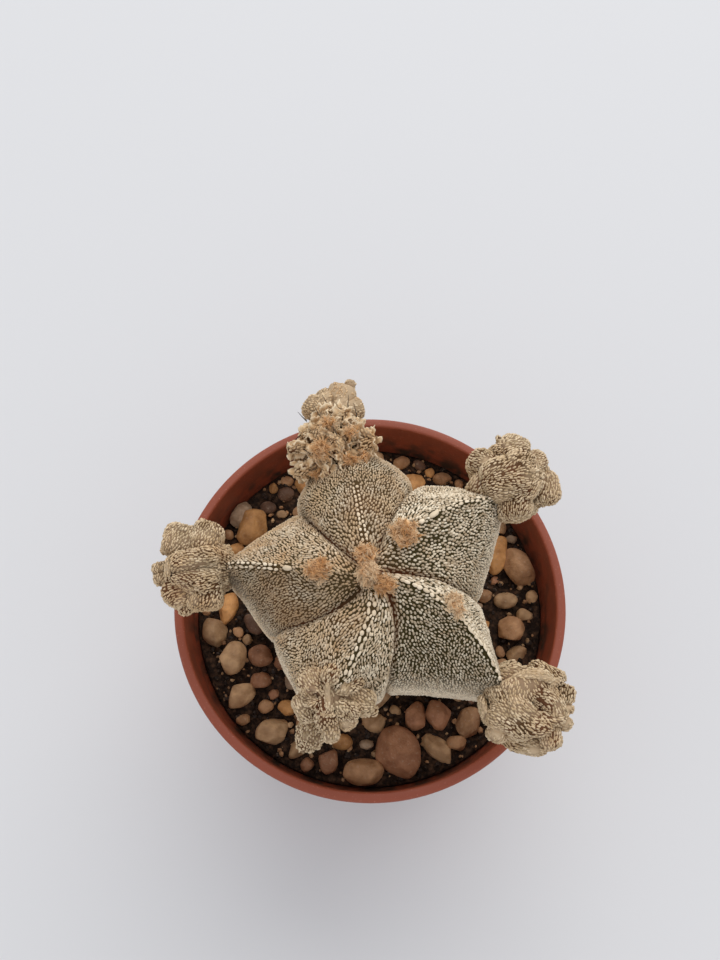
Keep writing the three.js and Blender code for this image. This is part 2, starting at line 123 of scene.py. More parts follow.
# Lobes that make up an offset with its ribbed head: place, the way each lies and its flecks run, half
# length, half width and half height, and how square it is (2 is round)
LOBES = {
    "offset_left": [
        ((-24.3, 4.0, 61.2), (0.3, 1, 0), 2.1, 2.5, 2.6, 4),
        ((-21.1, 4.2, 61.6), (0.25, 1, 0), 2.1, 1.9, 2.7, 4),
        ((-22.3, 1.0, 62.9), (-1, -0.2, 0), 3.1, 1.35, 2.5, 4),
        ((-22.2, -1, 62.2), (-1, 0.02, 0), 3, 1.1, 2.2, 4),
        ((-25.5, 0, 62), (0, 1, 0), 1.5, 0.6, 2.1, 3),
        ((-27.1, 0.7, 60.4), (-0.3, 1, 0), 0.9, 1.1, 1.4, 2.6),
        ((-27, -0.5, 60.2), (-0.3, 1, 0), 0.8, 1.0, 1.3, 2.6),
        ((-24.6, -2.5, 60.6), (-0.6, -1, 0), 1.8, 1.9, 2.1, 3),
        ((-21.2, -2.9, 60.8), (0, -1, 0), 1.8, 2.3, 2.2, 4),
        ((-23.7, -4.1, 59.8), (0.2, -1, 0), 1.1, 0.9, 1.1, 3),
        ((-26.5, 3.2, 60.8), (-1, 0, 0), 0.7, 0.6, 0.8, 2.5),
    ],
    "offset_top": [
        ((-5.7, 12.6, 65), (0.1, -1, 0.1), 1.3, 0.6, 1, 3),
        ((-3.6, 12.7, 65), (0, -1, 0.1), 1.3, 0.6, 1, 3),
        ((-2.1, 13, 64.6), (0.1, -1, 0), 1.2, 0.5, 0.9, 3),
        ((-8.2, 13.1, 64), (-1, -0.4, 0), 1.8, 0.8, 1.2, 3),
        ((-9.4, 15.8, 65), (-1, -0.3, 0), 1.5, 0.6, 1, 3),
        ((-0.6, 16.8, 64.4), (1, 0.3, 0), 1.2, 1.4, 1.4, 3),
        ((-5, 20, 64.6), (0, 1, 0.2), 1.5, 2.2, 1.5, 3),
    ],
    "offset_top_low": [
        ((-7.7, 24.6, 58), (-0.8, 0.5, 0), 1.5, 1.6, 1.8, 3),
        ((-4, 26.4, 58), (0.2, 1, 0), 1.7, 2, 1.8, 3),
        ((-2.2, 24.2, 58.2), (1, 0.3, 0), 1.3, 1.5, 1.6, 3),
        ((-2.8, 28.2, 58.2), (0.3, 1, 0), 0.7, 0.8, 0.8, 2.4),
    ],
    "offset_upper_right": [
        ((17.8, 11.8, 63.2), (1, 0.2, 0), 3.6, 3.1, 3.3, 3),
        ((14.9, 14.4, 62.2), (-0.8, 0.7, 0), 2, 1.9, 2.1, 3),
        ((14.6, 11, 62.2), (-0.7, -1, 0), 1.8, 2, 2.2, 3),
        ((19, 16.8, 62), (0.4, 1, 0), 1.8, 2.1, 2.1, 3),
        ((21.6, 14.7, 61.9), (1, 0.5, 0), 1.7, 1.5, 1.8, 3),
        ((23, 11.5, 61.2), (0.1, -1, 0), 2.2, 1.8, 2.1, 3),
        ((18.6, 8.6, 62.1), (0.1, -1, 0), 1.9, 2.3, 2.4, 3),
        ((17.1, 18, 62.3), (-0.3, 1, 0.2), 0.6, 0.3, 0.5, 2.4),
    ],
    "offset_lower_right": [
        ((21.6, -12.9, 61), (1, -0.5, -0.1), 2.2, 1.0, 2, 3.5),
        ((18.8, -14.9, 62), (0.4, -1, 0), 1.9, 3.3, 2.6, 4),
        ((17.2, -18.2, 61.2), (1, -0.35, 0), 3, 2.3, 2.7, 3.5),
        ((21.4, -18.2, 61), (1, 0, 0), 2.2, 1.1, 2.2, 3),
        ((23.9, -15.4, 60.4), (0.3, 1, 0), 1.2, 1.1, 1.4, 3),
        ((23.8, -17, 60.4), (1, 0, 0), 1.1, 0.6, 0.8, 2.5),
        ((23.4, -18.7, 60.4), (1, -0.2, 0), 1.2, 0.8, 1.1, 2.5),
        ((15.3, -19.8, 60.6), (-0.5, -1, 0), 1.2, 1.3, 1.4, 2.5),
        ((19.4, -21.3, 59.4), (1, -0.1, 0), 2.3, 1.1, 1.6, 2.6),
        ((21.6, -20.2, 60.2), (0.2, -1, 0), 1.7, 1.4, 1.7, 3.5),
        ((13.8, -17.2, 60.6), (0.2, -1, 0), 1.7, 0.4, 1.6, 3),
    ],
    "offset_bottom": [
        ((-7.7, -17, 62.2), (0.5, -1, 0), 1.7, 1.7, 2.1, 3.5),
        ((-7, -14.4, 63.8), (0.6, -1, 0), 1.5, 2, 2.5, 3),
        ((-2.8, -14, 63.8), (1, 0.4, 0), 2, 1.5, 2.4, 3),
        ((-2.1, -16.3, 62.6), (1, -0.25, 0), 2.4, 1.5, 2.1, 4),
        ((-0.1, -17.4, 61.9), (1, -0.2, 0), 0.9, 0.6, 0.8, 3),
        ((-5, -19.4, 61.8), (0.15, -1, 0), 1.8, 1, 1.7, 4),
        ((-3.2, -18.3, 62), (0.6, -0.8, 0), 1.4, 1.2, 1.6, 3),
        ((-5.3, -16.4, 63), (0, -1, 0), 2.4, 1.2, 3.2, 3),
    ],
}

# Places on the offsets that are smooth: place, radius and how much
SMOOTH = {
    "offset_left": [
        ((-25.5, 0, 64), 1.0, 1),
        ((-26.5, 3.2, 61.4), 0.7, 1),
        ((-27, 0.2, 61.6), 1.0, 0.5),
    ],
    "offset_top_low": [((-4, 26, 60), 6, 0.75)],
    "offset_upper_right": [
        ((19.4, 7.4, 62.5), 1.0, 1),
        ((14.9, 14.2, 64.3), 0.8, 0.9),
        ((22.2, 14.4, 63.6), 0.9, 0.6),
        ((24.6, 11.8, 62), 1, 0.8),
    ],
    "offset_lower_right": [
        ((15.2, -20, 61.8), 1.5, 1),
        ((19.4, -22.2, 60.4), 1.5, 0.9),
        ((24, -17, 61.2), 0.8, 1),
        ((23.8, -18.9, 61.2), 0.9, 0.9),
        ((13.6, -17, 62), 0.7, 1),
        ((17, -16.6, 64.4), 0.8, 0.6),
    ],
    "offset_bottom": [
        ((-3.4, -15.4, 66.6), 0.9, 0.9),
        ((-3.1, -18.8, 63.4), 1.2, 1),
        ((-4.8, -21, 62.4), 0.9, 1),
        ((-9.2, -17.4, 63), 0.9, 0.8),
        ((-6.4, -16, 66.6), 0.8, 0.8),
        ((-7.6, -19.4, 62.4), 0.9, 0.7),
    ],
    "offset_bottom_small": [
        ((-8.2, -20, 58.4), 1.1, 0.8),
        ((-8.9, -22.4, 56.6), 0.8, 1),
    ],
}

# Pale ridges that lie on an offset: path, width and height
RIDGES = {
    "offset_left": [(((-25.4, 1.2, 64.4), (-25.4, -1.2, 64)), 0.6, 0.15)],
    "offset_top": [
        (((-4, 16.2, 68.8), (-4, 12.8, 67.4)), 0.9, 0.8),
        (((-7.2, 16.4, 68.6), (-4.2, 17.4, 68.8)), 0.8, 0.6),
        (((-1.6, 18, 67), (0, 17, 66)), 0.5, 0.8),
        (((-6.4, 19.4, 67.6), (-3.6, 19.8, 67.4)), 0.8, 0.6),
    ],
    "offset_upper_right": [(((20.4, 12.2, 66.2), (22.6, 12.5, 64.6)), 0.8, 0.3)],
    "offset_lower_right": [(((16.8, -12.4, 64.2), (20.2, -13.2, 65), (23.2, -14.6, 63.6)), 1.5, 0.45)],
    "offset_bottom": [
        (((-5.5, -15, 67.6), (-5.3, -16.5, 67.2), (-5.2, -18, 66.6)), 0.75, 0.2),
        (((-6.1, -18.3, 65.4), (-5.2, -18.5, 65.4), (-4.4, -18.3, 65.4)), 0.45, 0.15),
    ],
}

# No place on an offset lies deeper inside a ridge than this
RIDGE_DEPTH = 0.6

# Dark grooves in an offset where no flecks lie, as paths
GROOVES = {
    "offset_left": [
        ((-26, 1.8, 64.2), (-23, 2.4, 65.2), (-20, 2.8, 65)),
        ((-25, -0.3, 65), (-19.8, -0.2, 65)),
    ],
    "offset_upper_right": [
        ((16.9, 16.8, 65), (17.3, 16.5, 65)),
        ((15.2, 12.2, 66), (15.4, 13.4, 66)),
        ((16, 12.8, 66), (19.6, 12.9, 66)),
        ((16.2, 11.6, 66), (20, 11.5, 66)),
    ],
    "offset_lower_right": [
        ((19, -17.1, 65), (22.6, -17, 63.6)),
        ((18.9, -18.4, 65), (19.6, -19.2, 64.6)),
        ((17.6, -13.9, 66), (18.4, -15.6, 66)),
        ((18.8, -14.1, 66), (19.5, -15.9, 66)),
        ((20, -14.4, 66), (20.6, -16, 66)),
    ],
    "offset_bottom": [
        ((-4.9, -14, 68), (-4.5, -16.2, 67.4), (-4.3, -18.4, 66)),
        ((-6.2, -15.2, 67.4), (-6, -17.4, 66.4)),
        ((-5.9, -19.6, 64.6), (-5.9, -19.7, 64.6)),
        ((-6.2, -18.8, 65.4), (-4.4, -18.8, 65.4)),
        ((-6.9, -15.4, 67), (-7.4, -16.4, 66)),
    ],
}
GROOVE_WIDTH = 0.17

# Dark bristles that stand round the top offset: root and tip
BRISTLES = [
    ((-9, 17.7, 65), (-10.8, 16.2, 64.6)),
    ((-8.4, 19.6, 64.8), (-9.6, 20.5, 65.7)),
    ((-5.1, 20.6, 65.6), (-6.3, 22.4, 67)),
    ((-6.6, 19.6, 65.8), (-7.3, 20.7, 67.2)),
    ((-4.3, 16, 68.6), (-4.9, 16.6, 69.8)),
    ((-1.9, 20.2, 64.8), (-1.9, 21.6, 66.2)),
    ((-8.7, 15.3, 65.6), (-7.6, 14.2, 66.6)),
    ((-3, 21, 65.2), (-2.9, 22.8, 66.2)),
]
BRISTLE_THICKNESS = 0.2
BRISTLE_STEPS = 5

# Wool: where each tuft sits on the flesh, how far it spreads, its fibres, how brown it is and the way that
# its locks are combed
WOOL = {
    "crown_wool": [((-0.7, -0.5, 71), (1.5, 1.3, 0.9), 500, 0.75, (-0.4, 0.3, 0)),
                   ((-0.4, -2.5, 71.2), (1.4, 1.8, 1.1), 800, 0.25, (-0.2, -1.6, 0)),
                   ((1.5, -3.9, 70.8), (1.2, 1.2, 0.8), 440, 1.1, (0.2, -0.5, 0))],
    "areole_wool_left": [((-6.4, -2.1, 70.5), (1.6, 1.6, 0.8), 760, 0.8, (0, 0, 0))],
    "areole_wool_upper_right": [((3.9, 2.3, 71), (1.9, 2, 0.9), 980, 0.8, (0, 0, 0))],
    "areole_wool_lower_right": [((9.7, -6.1, 69.2), (1.2, 1.6, 0.7), 560, 0.25, (0.1, -0.2, 0))],
}
TOP_OFFSET_WOOL = [
    ((-6.4, 14.5, 67.8), (1.2, 1.3, 0.8), 400, 0.95, (0, 0, 0)),
    ((-2.6, 13.3, 66.6), (0.8, 0.7, 0.6), 200, 0.95, (0, 0, 0)),
    ((-0.8, 14.3, 65.4), (0.8, 0.8, 0.6), 200, 0.95, (0, 0, 0)),
    ((-5.6, 18.2, 67.2), (1, 0.7, 0.6), 240, 0.85, (0, 0, 0)),
    ((-2.6, 16.8, 67.4), (0.7, 0.7, 0.5), 160, 0.9, (0, 0, 0)),
    ((-6.9, 12.2, 64.8), (0.7, 0.5, 0.5), 160, 0.9, (0, 0, 0)),
]
LOCK_THREADS = 8
LOCK_LENGTH = 1.1
LOCK_STEPS = 4

# Rows of beads along the crests: rib, from and to as shares of its reach, side step, length and width
CREST_BEADS = [
    (2, 0.46, 0.55, 0.0, 1.8, 1.0),
    (2, 0.57, 0.96, 0.3, 0.8, 0.45),
    (2, 0.57, 0.96, -0.32, 0.7, 0.42),
    (1, 0.12, 0.58, 0.26, 0.62, 0.42),
    (1, 0.12, 0.58, -0.26, 0.58, 0.4),
    (0, 0.30, 0.42, 0.0, 0.9, 0.8),
    (0, 0.45, 0.55, 0.0, 2.0, 0.9),
    (0, 0.57, 0.95, 0.33, 0.95, 0.5),
    (0, 0.57, 0.95, -0.33, 0.85, 0.48),
    (4, 0.12, 0.42, 0.42, 0.95, 0.65),
    (4, 0.12, 0.42, -0.42, 0.85, 0.6),
    (4, 0.56, 0.97, -0.05, 0.85, 0.46),
    (4, 0.54, 0.97, -0.62, 0.85, 0.46),
    (3, 0.14, 0.7, 0.42, 1.0, 0.58),
    (3, 0.2, 0.7, -0.4, 0.95, 0.52),
]
BEAD_GAP = 0.12
BEAD_CLEARANCE = 0.18
BEAD_SIDES = 11
BEAD_BEND = 0
CREST_LENGTH = 1.15

# Flecks: how many places are tried for them on the main head, from which row to which, how much their
# flow swirls and over what distance, how much they bow and the share of their height sunk in the skin
FLECK_TRIES = 760000
FLECK_ROWS = (0.02, 1.96)
BODY_SWIRL = 0.9
SWIRL_PITCH = 2.6
BODY_BEND = 0.2
SUNK = 0.3

# The main head's lumps by height and pitch, and its crease by depth and width
BODY_LUMPS = [(0.2, 2.8), (0.09, 0.9)]
BODY_CREASE = (0.75, 0.5)

# Stains and grey patches on the main head, places where its flecks are small, where its skin stays dark
# green and where it is nearly bare: place, radius and strength
STAINS = [
    ((-11.5, -6.5, 66), 5, 0.7), ((-1, 6, 68), 3.5, 0.8), ((3.5, 9.5, 66.5), 3, 0.4),
    ((-4.2, 13, 64), 3.5, 0.7), ((-2.8, -6.5, 69), 3.5, 0.8), ((-4.5, -12, 64), 4, 0.5), ((0, 0, 71), 4, 0.5),
]
GREYS = [
    ((-18, -1.6, 62), 3.4, 0.7), ((17, 9.4, 63), 3, 0.6),
    ((13, -12, 61.5), 3.4, 0.5), ((0, 14, 64), 1.6, 0.6),
]
THIN = [
    ((8, -9, 66), 6, 0.4), ((-18, -1, 62), 4, 0.3), ((5, 0, 70.4), 3, 1), ((7.6, 1.6, 69.6), 2, 0.8),
    ((-2.6, -4.8, 70), 2.6, 1), ((-4, -6.6, 69), 2, 0.8),
    ((2.6, -0.6, 71), 1.6, 1), ((0, 13.4, 65.4), 1.8, 0.6),
]
SHADED = [((-2.8, -4.8, 69.6), 2.4, 1)]
BARE = [((2.6, -0.6, 71), 0.5, 1), ((11.2, 9.2, 66.4), 0.6, 1)]

# The ten flanks of the main head, two to a valley: how warm their flecks are, how far these fill their
# room, how much longer than wide they are, and how much painted shade darkens a flank turned from the light
FLANKS = [
    (0.2, 1.6, 1.3, 0.0), (0.75, 1.46, 1.3, 0.25), (0.8, 1.48, 1.35, 0.25), (0.75, 1.56, 1.4, 0.05),
    (0.9, 1.45, 1.35, 0.45), (0.65, 1.56, 1.4, 0.05), (0.3, 1.55, 1.4, 0.0), (0.15, 1.36, 1.2, 0.25),
    (0.1, 1.6, 1.3, 0.0), (0.2, 1.48, 1.25, 0.15),
]

# How far apart the flecks lie on each of the ten flanks
FLECK_NEED = [0.28, 0.265, 0.26, 0.255, 0.25, 0.26, 0.26, 0.3, 0.27, 0.295]

# The dark seam of each rib's crest: from and to as shares of the rib's reach, and half width
CREST_SEAMS = {
    0: (0.55, 0.97, 0.14),
    1: (0.1, 0.62, 0.15),
    2: (0.55, 0.97, 0.14),
    3: (0.2, 0.74, 0.14),
    4: (0.5, 0.97, 0.15),
}

# How far apart flecks lie on each offset, how much longer than wide they are, how stained the offset is
# and how large its head is between its lobes
OFFSET_LOOK = {
    "offset_left": (0.25, 1.8, 0.5, 0.84),
    "offset_top": (0.31, 1.6, 0.6, 0.86),
    "offset_top_low": (0.28, 1.4, 0.6, 0.84),
    "offset_upper_right": (0.25, 1.9, 0.3, 0.9),
    "offset_lower_right": (0.25, 1.9, 0.3, 0.88),
    "offset_bottom": (0.255, 1.6, 0.4, 0.84),
    "offset_bottom_small": (0.26, 1.3, 0.1, 1),
}
OFFSET_STAINS = [
    ((-27, 3.6, 60), 1.6, 0.8), ((-22, 6.8, 60.5), 2, 0.5), ((21.5, -15, 62), 1.8, 0.8),
    ((24, -17, 60), 1.4, 0.8), ((-4.4, -12.6, 65), 2.6, 0.7), ((14.4, 15, 62), 1.6, 0.8),
    ((19.5, 8, 60.6), 1.6, 0.6), ((-4.5, -19.6, 61), 1.6, 0.7), ((-7, 14.6, 68), 2.4, 1),
    ((-1, 14.4, 66), 1.8, 0.9), ((-6.4, 18.4, 67), 1.8, 0.9), ((-2, 26, 60), 1.4, 0.8),
    ((-2.6, 17, 68), 1.6, 1), ((-7, 12, 65), 2, 1), ((-4, 15, 68), 1.4, 0.7), ((0, 17, 65), 1.6, 0.8),
]

# Offsets: how their ribs wind and swell, how pale their ridges are, and how far inside a skin still counts
# as on it
OFFSET_TWIST = 12
OFFSET_SWELL = 0.8
RIDGE_BLOOM = 0.7
SKIN_SLACK = 0.02

# Flecks of the offsets: from which row to which they lie on a head, how many places are tried for them on
# a head, a lobe and a ridge of size 1 at a spacing of 1, and how much they swirl and bow
OFFSET_ROWS = (0.03, 2.8)
HEAD_TRIES = 110
LOBE_TRIES = 75
RIDGE_TRIES = 8
OFFSET_SWIRL = 0.9
OFFSET_BEND = 0.6

# Dry flaps of the top offset
RUFFLE_SPACING = 0.92
RUFFLE_RINGS = 9
RUFFLE_THICKNESS = 0.13

# Pebbles that the picture shows plainly: place, length, width, turn of the long side and tone
PEBBLES = [
    (3.8, -20.6, 7.4, 6.4, 100, "red"), (-1, -23, 5.8, 3.8, 0, "brown"), (-13.8, -17.6, 5, 3.8, 25, "tan"),
    (-18.4, -12.6, 4.6, 3.4, 30, "tan"), (-19.8, -7.4, 5, 4, 70, "tan"), (-22.4, -3.6, 5, 3.8, 110, "tan"),
    (-20.6, -0.2, 5.2, 3, 85, "orange"), (-17.6, 12.4, 5.8, 5, 60, "orange"),
    (-19.4, 14.4, 5, 3.4, 80, "grey"), (-20.2, 9, 3, 2.4, 0, "orange"), (-15.4, 15.5, 2.6, 2.2, 0, "dark"),
    (5, 23, 2.8, 2.2, 20, "brown"), (2.6, 21.2, 2.4, 2, 0, "tan"), (6.8, 19.4, 3.8, 3.4, 40, "orange"),
    (11.2, 20.2, 3, 2.2, 0, "brown"),
    (18.9, 8, 6.4, 3.4, 75, "orange"), (22.2, 6, 7, 4.4, 120, "brown"), (20, 1.2, 3.6, 2.6, 0, "tan"),
    (20.4, -3.2, 4.4, 4, 0, "brown"), (22.6, -1, 2.6, 2.2, 0, "tan"), (21.2, -6.6, 3.4, 2.4, 10, "tan"),
    (17, 1.8, 2.4, 2, 0, "brown"), (6.4, -15.6, 4.6, 3.4, 100, "red"), (9.6, -15.4, 4.8, 3.8, 150, "red"),
    (14, -16.4, 4.6, 4, 60, "brown"), (9.6, -20, 5.6, 3, 140, "tan"), (12.2, -19.2, 3, 2.6, 0, "brown"),
    (-5.8, -21.6, 3.6, 3, 80, "red"), (-11.8, -14.4, 2.8, 2.4, 0, "orange"), (-15.6, -7, 3.6, 3.2, 0, "red"),
    (-15.6, -10.6, 3.2, 2.8, 0, "red"), (-12.6, 17.6, 2.8, 2.4, 0, "dark"),
]

# Worn facets of a stone, the height of the bed that it is sunk in, and the size from which it has a finer
# mesh and grows no taller
STONE_FACETS = 9
STONE_BED = GROUND - 0.2
LARGE_STONE = 4.2

# Smaller pebbles that fill the ring round the plant: how far in they lie, sizes with the tries for each,
# and how much room they leave
FILL_INNER = 9
FILL_SIZES = ((3.4, 260), (2.5, 500), (1.7, 900))
FILL_SPREAD = 1.03

# Tones of the pebbles, with the share that each has of the smaller ones
TONES = {
    "tan": ((0.62, 0.385, 0.20), 0.3),
    "orange": ((0.66, 0.33, 0.115), 0.18),
    "red": ((0.40, 0.185, 0.092), 0.14),
    "brown": ((0.50, 0.27, 0.13), 0.2),
    "grey": ((0.43, 0.30, 0.195), 0.1),
    "dark": ((0.18, 0.095, 0.056), 0.08),
}

# Grit and crumbs between the pebbles
GRIT_COUNT = 1500
GRIT_INNER = 7.5
CRUMB_COLOUR = (0.035, 0.02, 0.013)

# The photograph's camera
CAMERA_PLACE = (-1.4, -33.7, 185.3)
CAMERA_TILT = 20.5
CAMERA_LENS = 37.5
CAMERA_NEAR = 5

# Light and floor, in metres and watts
SKY_COLOUR = (0.93, 0.95, 1, 1)
SKY_STRENGTH = 0.86
WINDOW_PLACE = (0.25, 1.0, 0.9)
WINDOW_SIZE = 1.7
WINDOW_POWER = 11.2
WINDOW_COLOUR = (1, 0.985, 0.96)
FLOOR_HALF = 1.5

# Columns of a set of places on a skin, and the distance from a crease of a place that has none near
POINT, NORMAL, DOWN, CREASE, ROW, FLANK, ACROSS = range(7)
FAR = 9.0


# Random numbers and smooth noise

def lattice(cell, seed):
    """A random number from 0 to 1 for each whole-number cell."""
    mixed = cell[..., 0] * 374761393 + cell[..., 1] * 668265263 + cell[..., 2] * 2147483647 + seed * 974634777
    mixed = (mixed ^ (mixed >> 13)) * 1274126177
    return ((mixed ^ (mixed >> 16)) & 0xFFFFFF) / 0xFFFFFF


def noise(points, pitch, seed):
    """Smooth noise from -1 to 1 that changes over about a pitch."""
    scaled = np.asarray(points) / pitch
    cell = np.floor(scaled).astype(np.int64)
    part = scaled - cell
    part = part * part * (3 - 2 * part)
    total = np.zeros(len(scaled))
    for corner in np.ndindex(2, 2, 2):
        share = np.prod(np.where(corner, part, 1 - part), axis=1)
        total += share * lattice(cell + np.array(corner), seed)
    return total * 2 - 1


def unit(vectors):
    return vectors / np.maximum(np.linalg.norm(vectors, axis=-1, keepdims=True), 1e-9)


# Meshes

def in_scene(name, data):
    """A new object in the scene."""
    made = bpy.data.objects.new(name, data)
    bpy.context.scene.collection.objects.link(made)
    return made


def make_piece(name, points, faces, material, replaced=(), values=None, colours=None, smooth=True):
    """A mesh object in the frame from points in millimetres and faces of three or four corners."""
    mesh = bpy.data.meshes.new(name)
    points = np.asarray(points, float)
    faces = np.asarray(faces, int)
    corners = faces.shape[1]
    mesh.vertices.add(len(points))
    mesh.vertices.foreach_set("co", (points * MM).ravel())
    mesh.loops.add(faces.size)
    mesh.loops.foreach_set("vertex_index", faces.ravel())
    mesh.polygons.add(len(faces))
    mesh.polygons.foreach_set("loop_start", np.arange(len(faces)) * corners)
    mesh.polygons.foreach_set("loop_total", np.full(len(faces), corners))
    mesh.update(calc_edges=True)
    mesh.polygons.foreach_set("use_smooth", np.full(len(faces), smooth))
    for key, numbers in (values or {}).items():
        mesh.attributes.new(key, "FLOAT", "POINT").data.foreach_set("value", np.asarray(numbers, np.float32))
    if colours is not None:
        rows = np.c_[colours, np.ones(len(points))].astype(np.float32)
        mesh.attributes.new("tone_colour", "FLOAT_COLOR", "POINT").data.foreach_set("color", rows.ravel())
    mesh.materials.append(material)
    piece = in_scene(name, mesh)
    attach(piece, "root")
    if replaced:
        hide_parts(*replaced)
    return piece


def merged(parts):
    """One set of points and faces from several."""
    points, faces, start = [], [], 0
    for part_points, part_faces in parts:
        points.append(part_points)
        faces.append(part_faces + start)
        start += len(part_points)
    return np.concatenate(points), np.concatenate(faces)


def ball(level):
    """Points and faces of an icosphere of radius 1."""
    shape = bmesh.new()
    bmesh.ops.create_icosphere(shape, subdivisions=level, radius=1)
    points = np.array([v.co for v in shape.verts])
    faces = np.array([[v.index for v in f.verts] for f in shape.faces])
    shape.free()
    return points, faces


def grid_faces(rows, columns):
    """Triangles between rings of points, with as many columns as a ring has points."""
    r, c = np.meshgrid(np.arange(rows - 1), np.arange(columns), indexing="ij")
    a = (r * columns + c).ravel()
    b = (r * columns + (c + 1) % columns).ravel()
    return np.concatenate([np.c_[a, a + columns, b], np.c_[b, a + columns, b + columns]])


def tube_faces(rows, columns, falling=False):
    """Outward faces of a closed tube of rings, which rise or fall with their points in turn to the left.
    Its first and last end points come after the rings."""
    ring = np.arange(columns)
    following = (ring + 1) % columns
    sides = grid_faces(rows, columns)
    if falling:
        ring, following = following, ring
    else:
        sides = sides[:, ::-1]
    last_ring = (rows - 1) * columns
    end = np.full(columns, rows * columns)
    first_cap = np.c_[end, following, ring]
    last_cap = np.c_[end + 1, last_ring + ring, last_ring + following]
    return np.r_[sides, first_cap, last_cap]


def repeated(vertices, pattern):
    """Points and faces of many shapes with like faces, from the points of each and the faces of the first."""
    count, each = vertices.shape[:2]
    faces = (np.arange(count) * each)[:, None, None] + pattern
    return vertices.reshape(-1, 3), faces.reshape(-1, 3)


def turned_about_z(profile, sides, wobble=None):
    """A closed lathe from (radius, height) pairs that start and end on the axis."""
    profile = np.asarray(profile, float)
    inner = profile[1:-1]
    angle = np.arange(sides) * 2 * np.pi / sides
    radius = inner[:, 0][:, None] * np.ones(sides)
    height = inner[:, 1][:, None] * np.ones(sides)
    points = np.stack([radius * np.cos(angle), radius * np.sin(angle), height], axis=-1).reshape(-1, 3)
    if wobble is not None:
        points = wobble(points)
    points = np.r_[points, [[0, 0, profile[0, 1]]], [[0, 0, profile[-1, 1]]]]
    return points, tube_faces(len(inner), sides)


# Materials, with pairs of shades for the skins

DARK_GREEN = ((0.017, 0.0135, 0.003), (0.056, 0.044, 0.012))
UMBER = ((0.042, 0.025, 0.008), (0.098, 0.062, 0.024))
RUST = ((0.16, 0.054, 0.022), (0.32, 0.125, 0.055))
TAN_SKIN = ((0.045, 0.024, 0.008), (0.12, 0.070, 0.028))
RED_BROWN = ((0.085, 0.030, 0.013), (0.19, 0.075, 0.034))


def material(name, roughness, specular=0.5):
    made = bpy.data.materials.new(name)
    made.use_nodes = True
    shader = made.node_tree.nodes["Principled BSDF"]
    shader.inputs["Roughness"].default_value = roughness
    shader.inputs["Specular IOR Level"].default_value = specular
    return made, made.node_tree, shader


def add_node(tree, kind, values=None, **settings):
    node = tree.nodes.new(kind)
    for key, value in settings.items():
        setattr(node, key, value)
    for key, value in (values or {}).items():
        if isinstance(value, bpy.types.NodeSocket):
            tree.links.new(value, node.inputs[key])
        else:
            node.inputs[key].default_value = value
    return node


def place_of(tree):
    return add_node(tree, "ShaderNodeTexCoord").outputs["Object"]


def value_of(tree, name):
    return add_node(tree, "ShaderNodeAttribute", attribute_name=name).outputs["Fac"]


def speckle(tree, scale, detail=4):
    """Noise over the object's own place; the scale is in cells a metre."""
    values = {"Vector": place_of(tree), "Scale": scale, "Detail": detail}
    return add_node(tree, "ShaderNodeTexNoise", values).outputs["Fac"]


def ramp(tree, factor, low, high):
    """Stretches the part of a factor between low and high to the whole of 0 to 1."""
    values = {"Value": factor, "From Min": low, "From Max": high}
    return add_node(tree, "ShaderNodeMapRange", values).outputs["Result"]


def blend(tree, factor, first, second, mode="MIX"):
    """A colour between two colours or sockets."""
    node = add_node(tree, "ShaderNodeMix", data_type="RGBA", blend_type=mode)
    for socket, value in ((node.inputs[0], factor), (node.inputs[6], first), (node.inputs[7], second)):
        if isinstance(value, bpy.types.NodeSocket):
            tree.links.new(value, socket)
        elif isinstance(value, tuple):
            socket.default_value = (*value, 1)
        else:
            socket.default_value = value
    return node.outputs[2]


def bump(tree, shader, height, depth):
    """Raises the shader's surface by a height, with the depth in millimetres."""
    values = {"Height": height, "Distance": depth * MM, "Strength": 1}
    normal = add_node(tree, "ShaderNodeBump", values).outputs["Normal"]
    tree.links.new(normal, shader.inputs["Normal"])


def colour_from(tree, shader, colour):
    tree.links.new(colour, shader.inputs["Base Color"])


def skin_material(name, cool, warm, rust, bloom):
    """Dark skin in two shades each where it is cool and where it is warm, reddish-brown in the creases by
    the crown, with a pale bloom in places."""
    made, tree, shader = material(name, 0.8, 0.12)
    shade = speckle(tree, 900)
    own = blend(tree, value_of(tree, "warm"), blend(tree, shade, *cool), blend(tree, shade, *warm))
    brown = blend(tree, speckle(tree, 1500), *rust)
    rusty = blend(tree, value_of(tree, "brown"), own, brown)
    colour_from(tree, shader, blend(tree, value_of(tree, "bloom"), rusty, bloom))
    bump(tree, shader, speckle(tree, 5000), 0.05)
    return made


def fleck_material(name, pale, deep):
    """Cream flecks of fine matted hair, each of its own tone, stained tan and brown in patches, and darkened
    by the grey value, which holds grey patches and painted shade.
    """
    made, tree, shader = material(name, 0.85, 0.25)
    own = blend(tree, value_of(tree, "tone"), deep, pale)
    patchy = ramp(tree, speckle(tree, 260, 3), 0.35, 0.75)
    warm = blend(tree, patchy, (0.72, 0.51, 0.29), (0.54, 0.32, 0.15))
    stained = blend(tree, value_of(tree, "brown"), own, warm)
    # The grey value holds grey patches and painted shade on flanks turned from the light
    colour_from(tree, shader, blend(tree, value_of(tree, "grey"), stained, (0.17, 0.135, 0.10)))
    bump(tree, shader, speckle(tree, 14000, 2), 0.03)
    return made


def wool_material():
    """Felted wool, from pale beige to orange-brown, with painted shade in dark brown in the folds of its
    cushions and at the roots of its locks.
    """
    made, tree, shader = material("wool_fibre", 0.95, 0.1)
    pale = blend(tree, speckle(tree, 2500), (0.84, 0.60, 0.36), (0.92, 0.74, 0.50))
    brown = blend(tree, speckle(tree, 2500), (0.60, 0.285, 0.10), (0.84, 0.51, 0.24))
    own = blend(tree, value_of(tree, "brown"), pale, brown)
    # Painted shade: the deep value darkens the wool to dark brown
    colour_from(tree, shader, blend(tree, value_of(tree, "deep"), own, (0.27, 0.12, 0.045)))
    return made


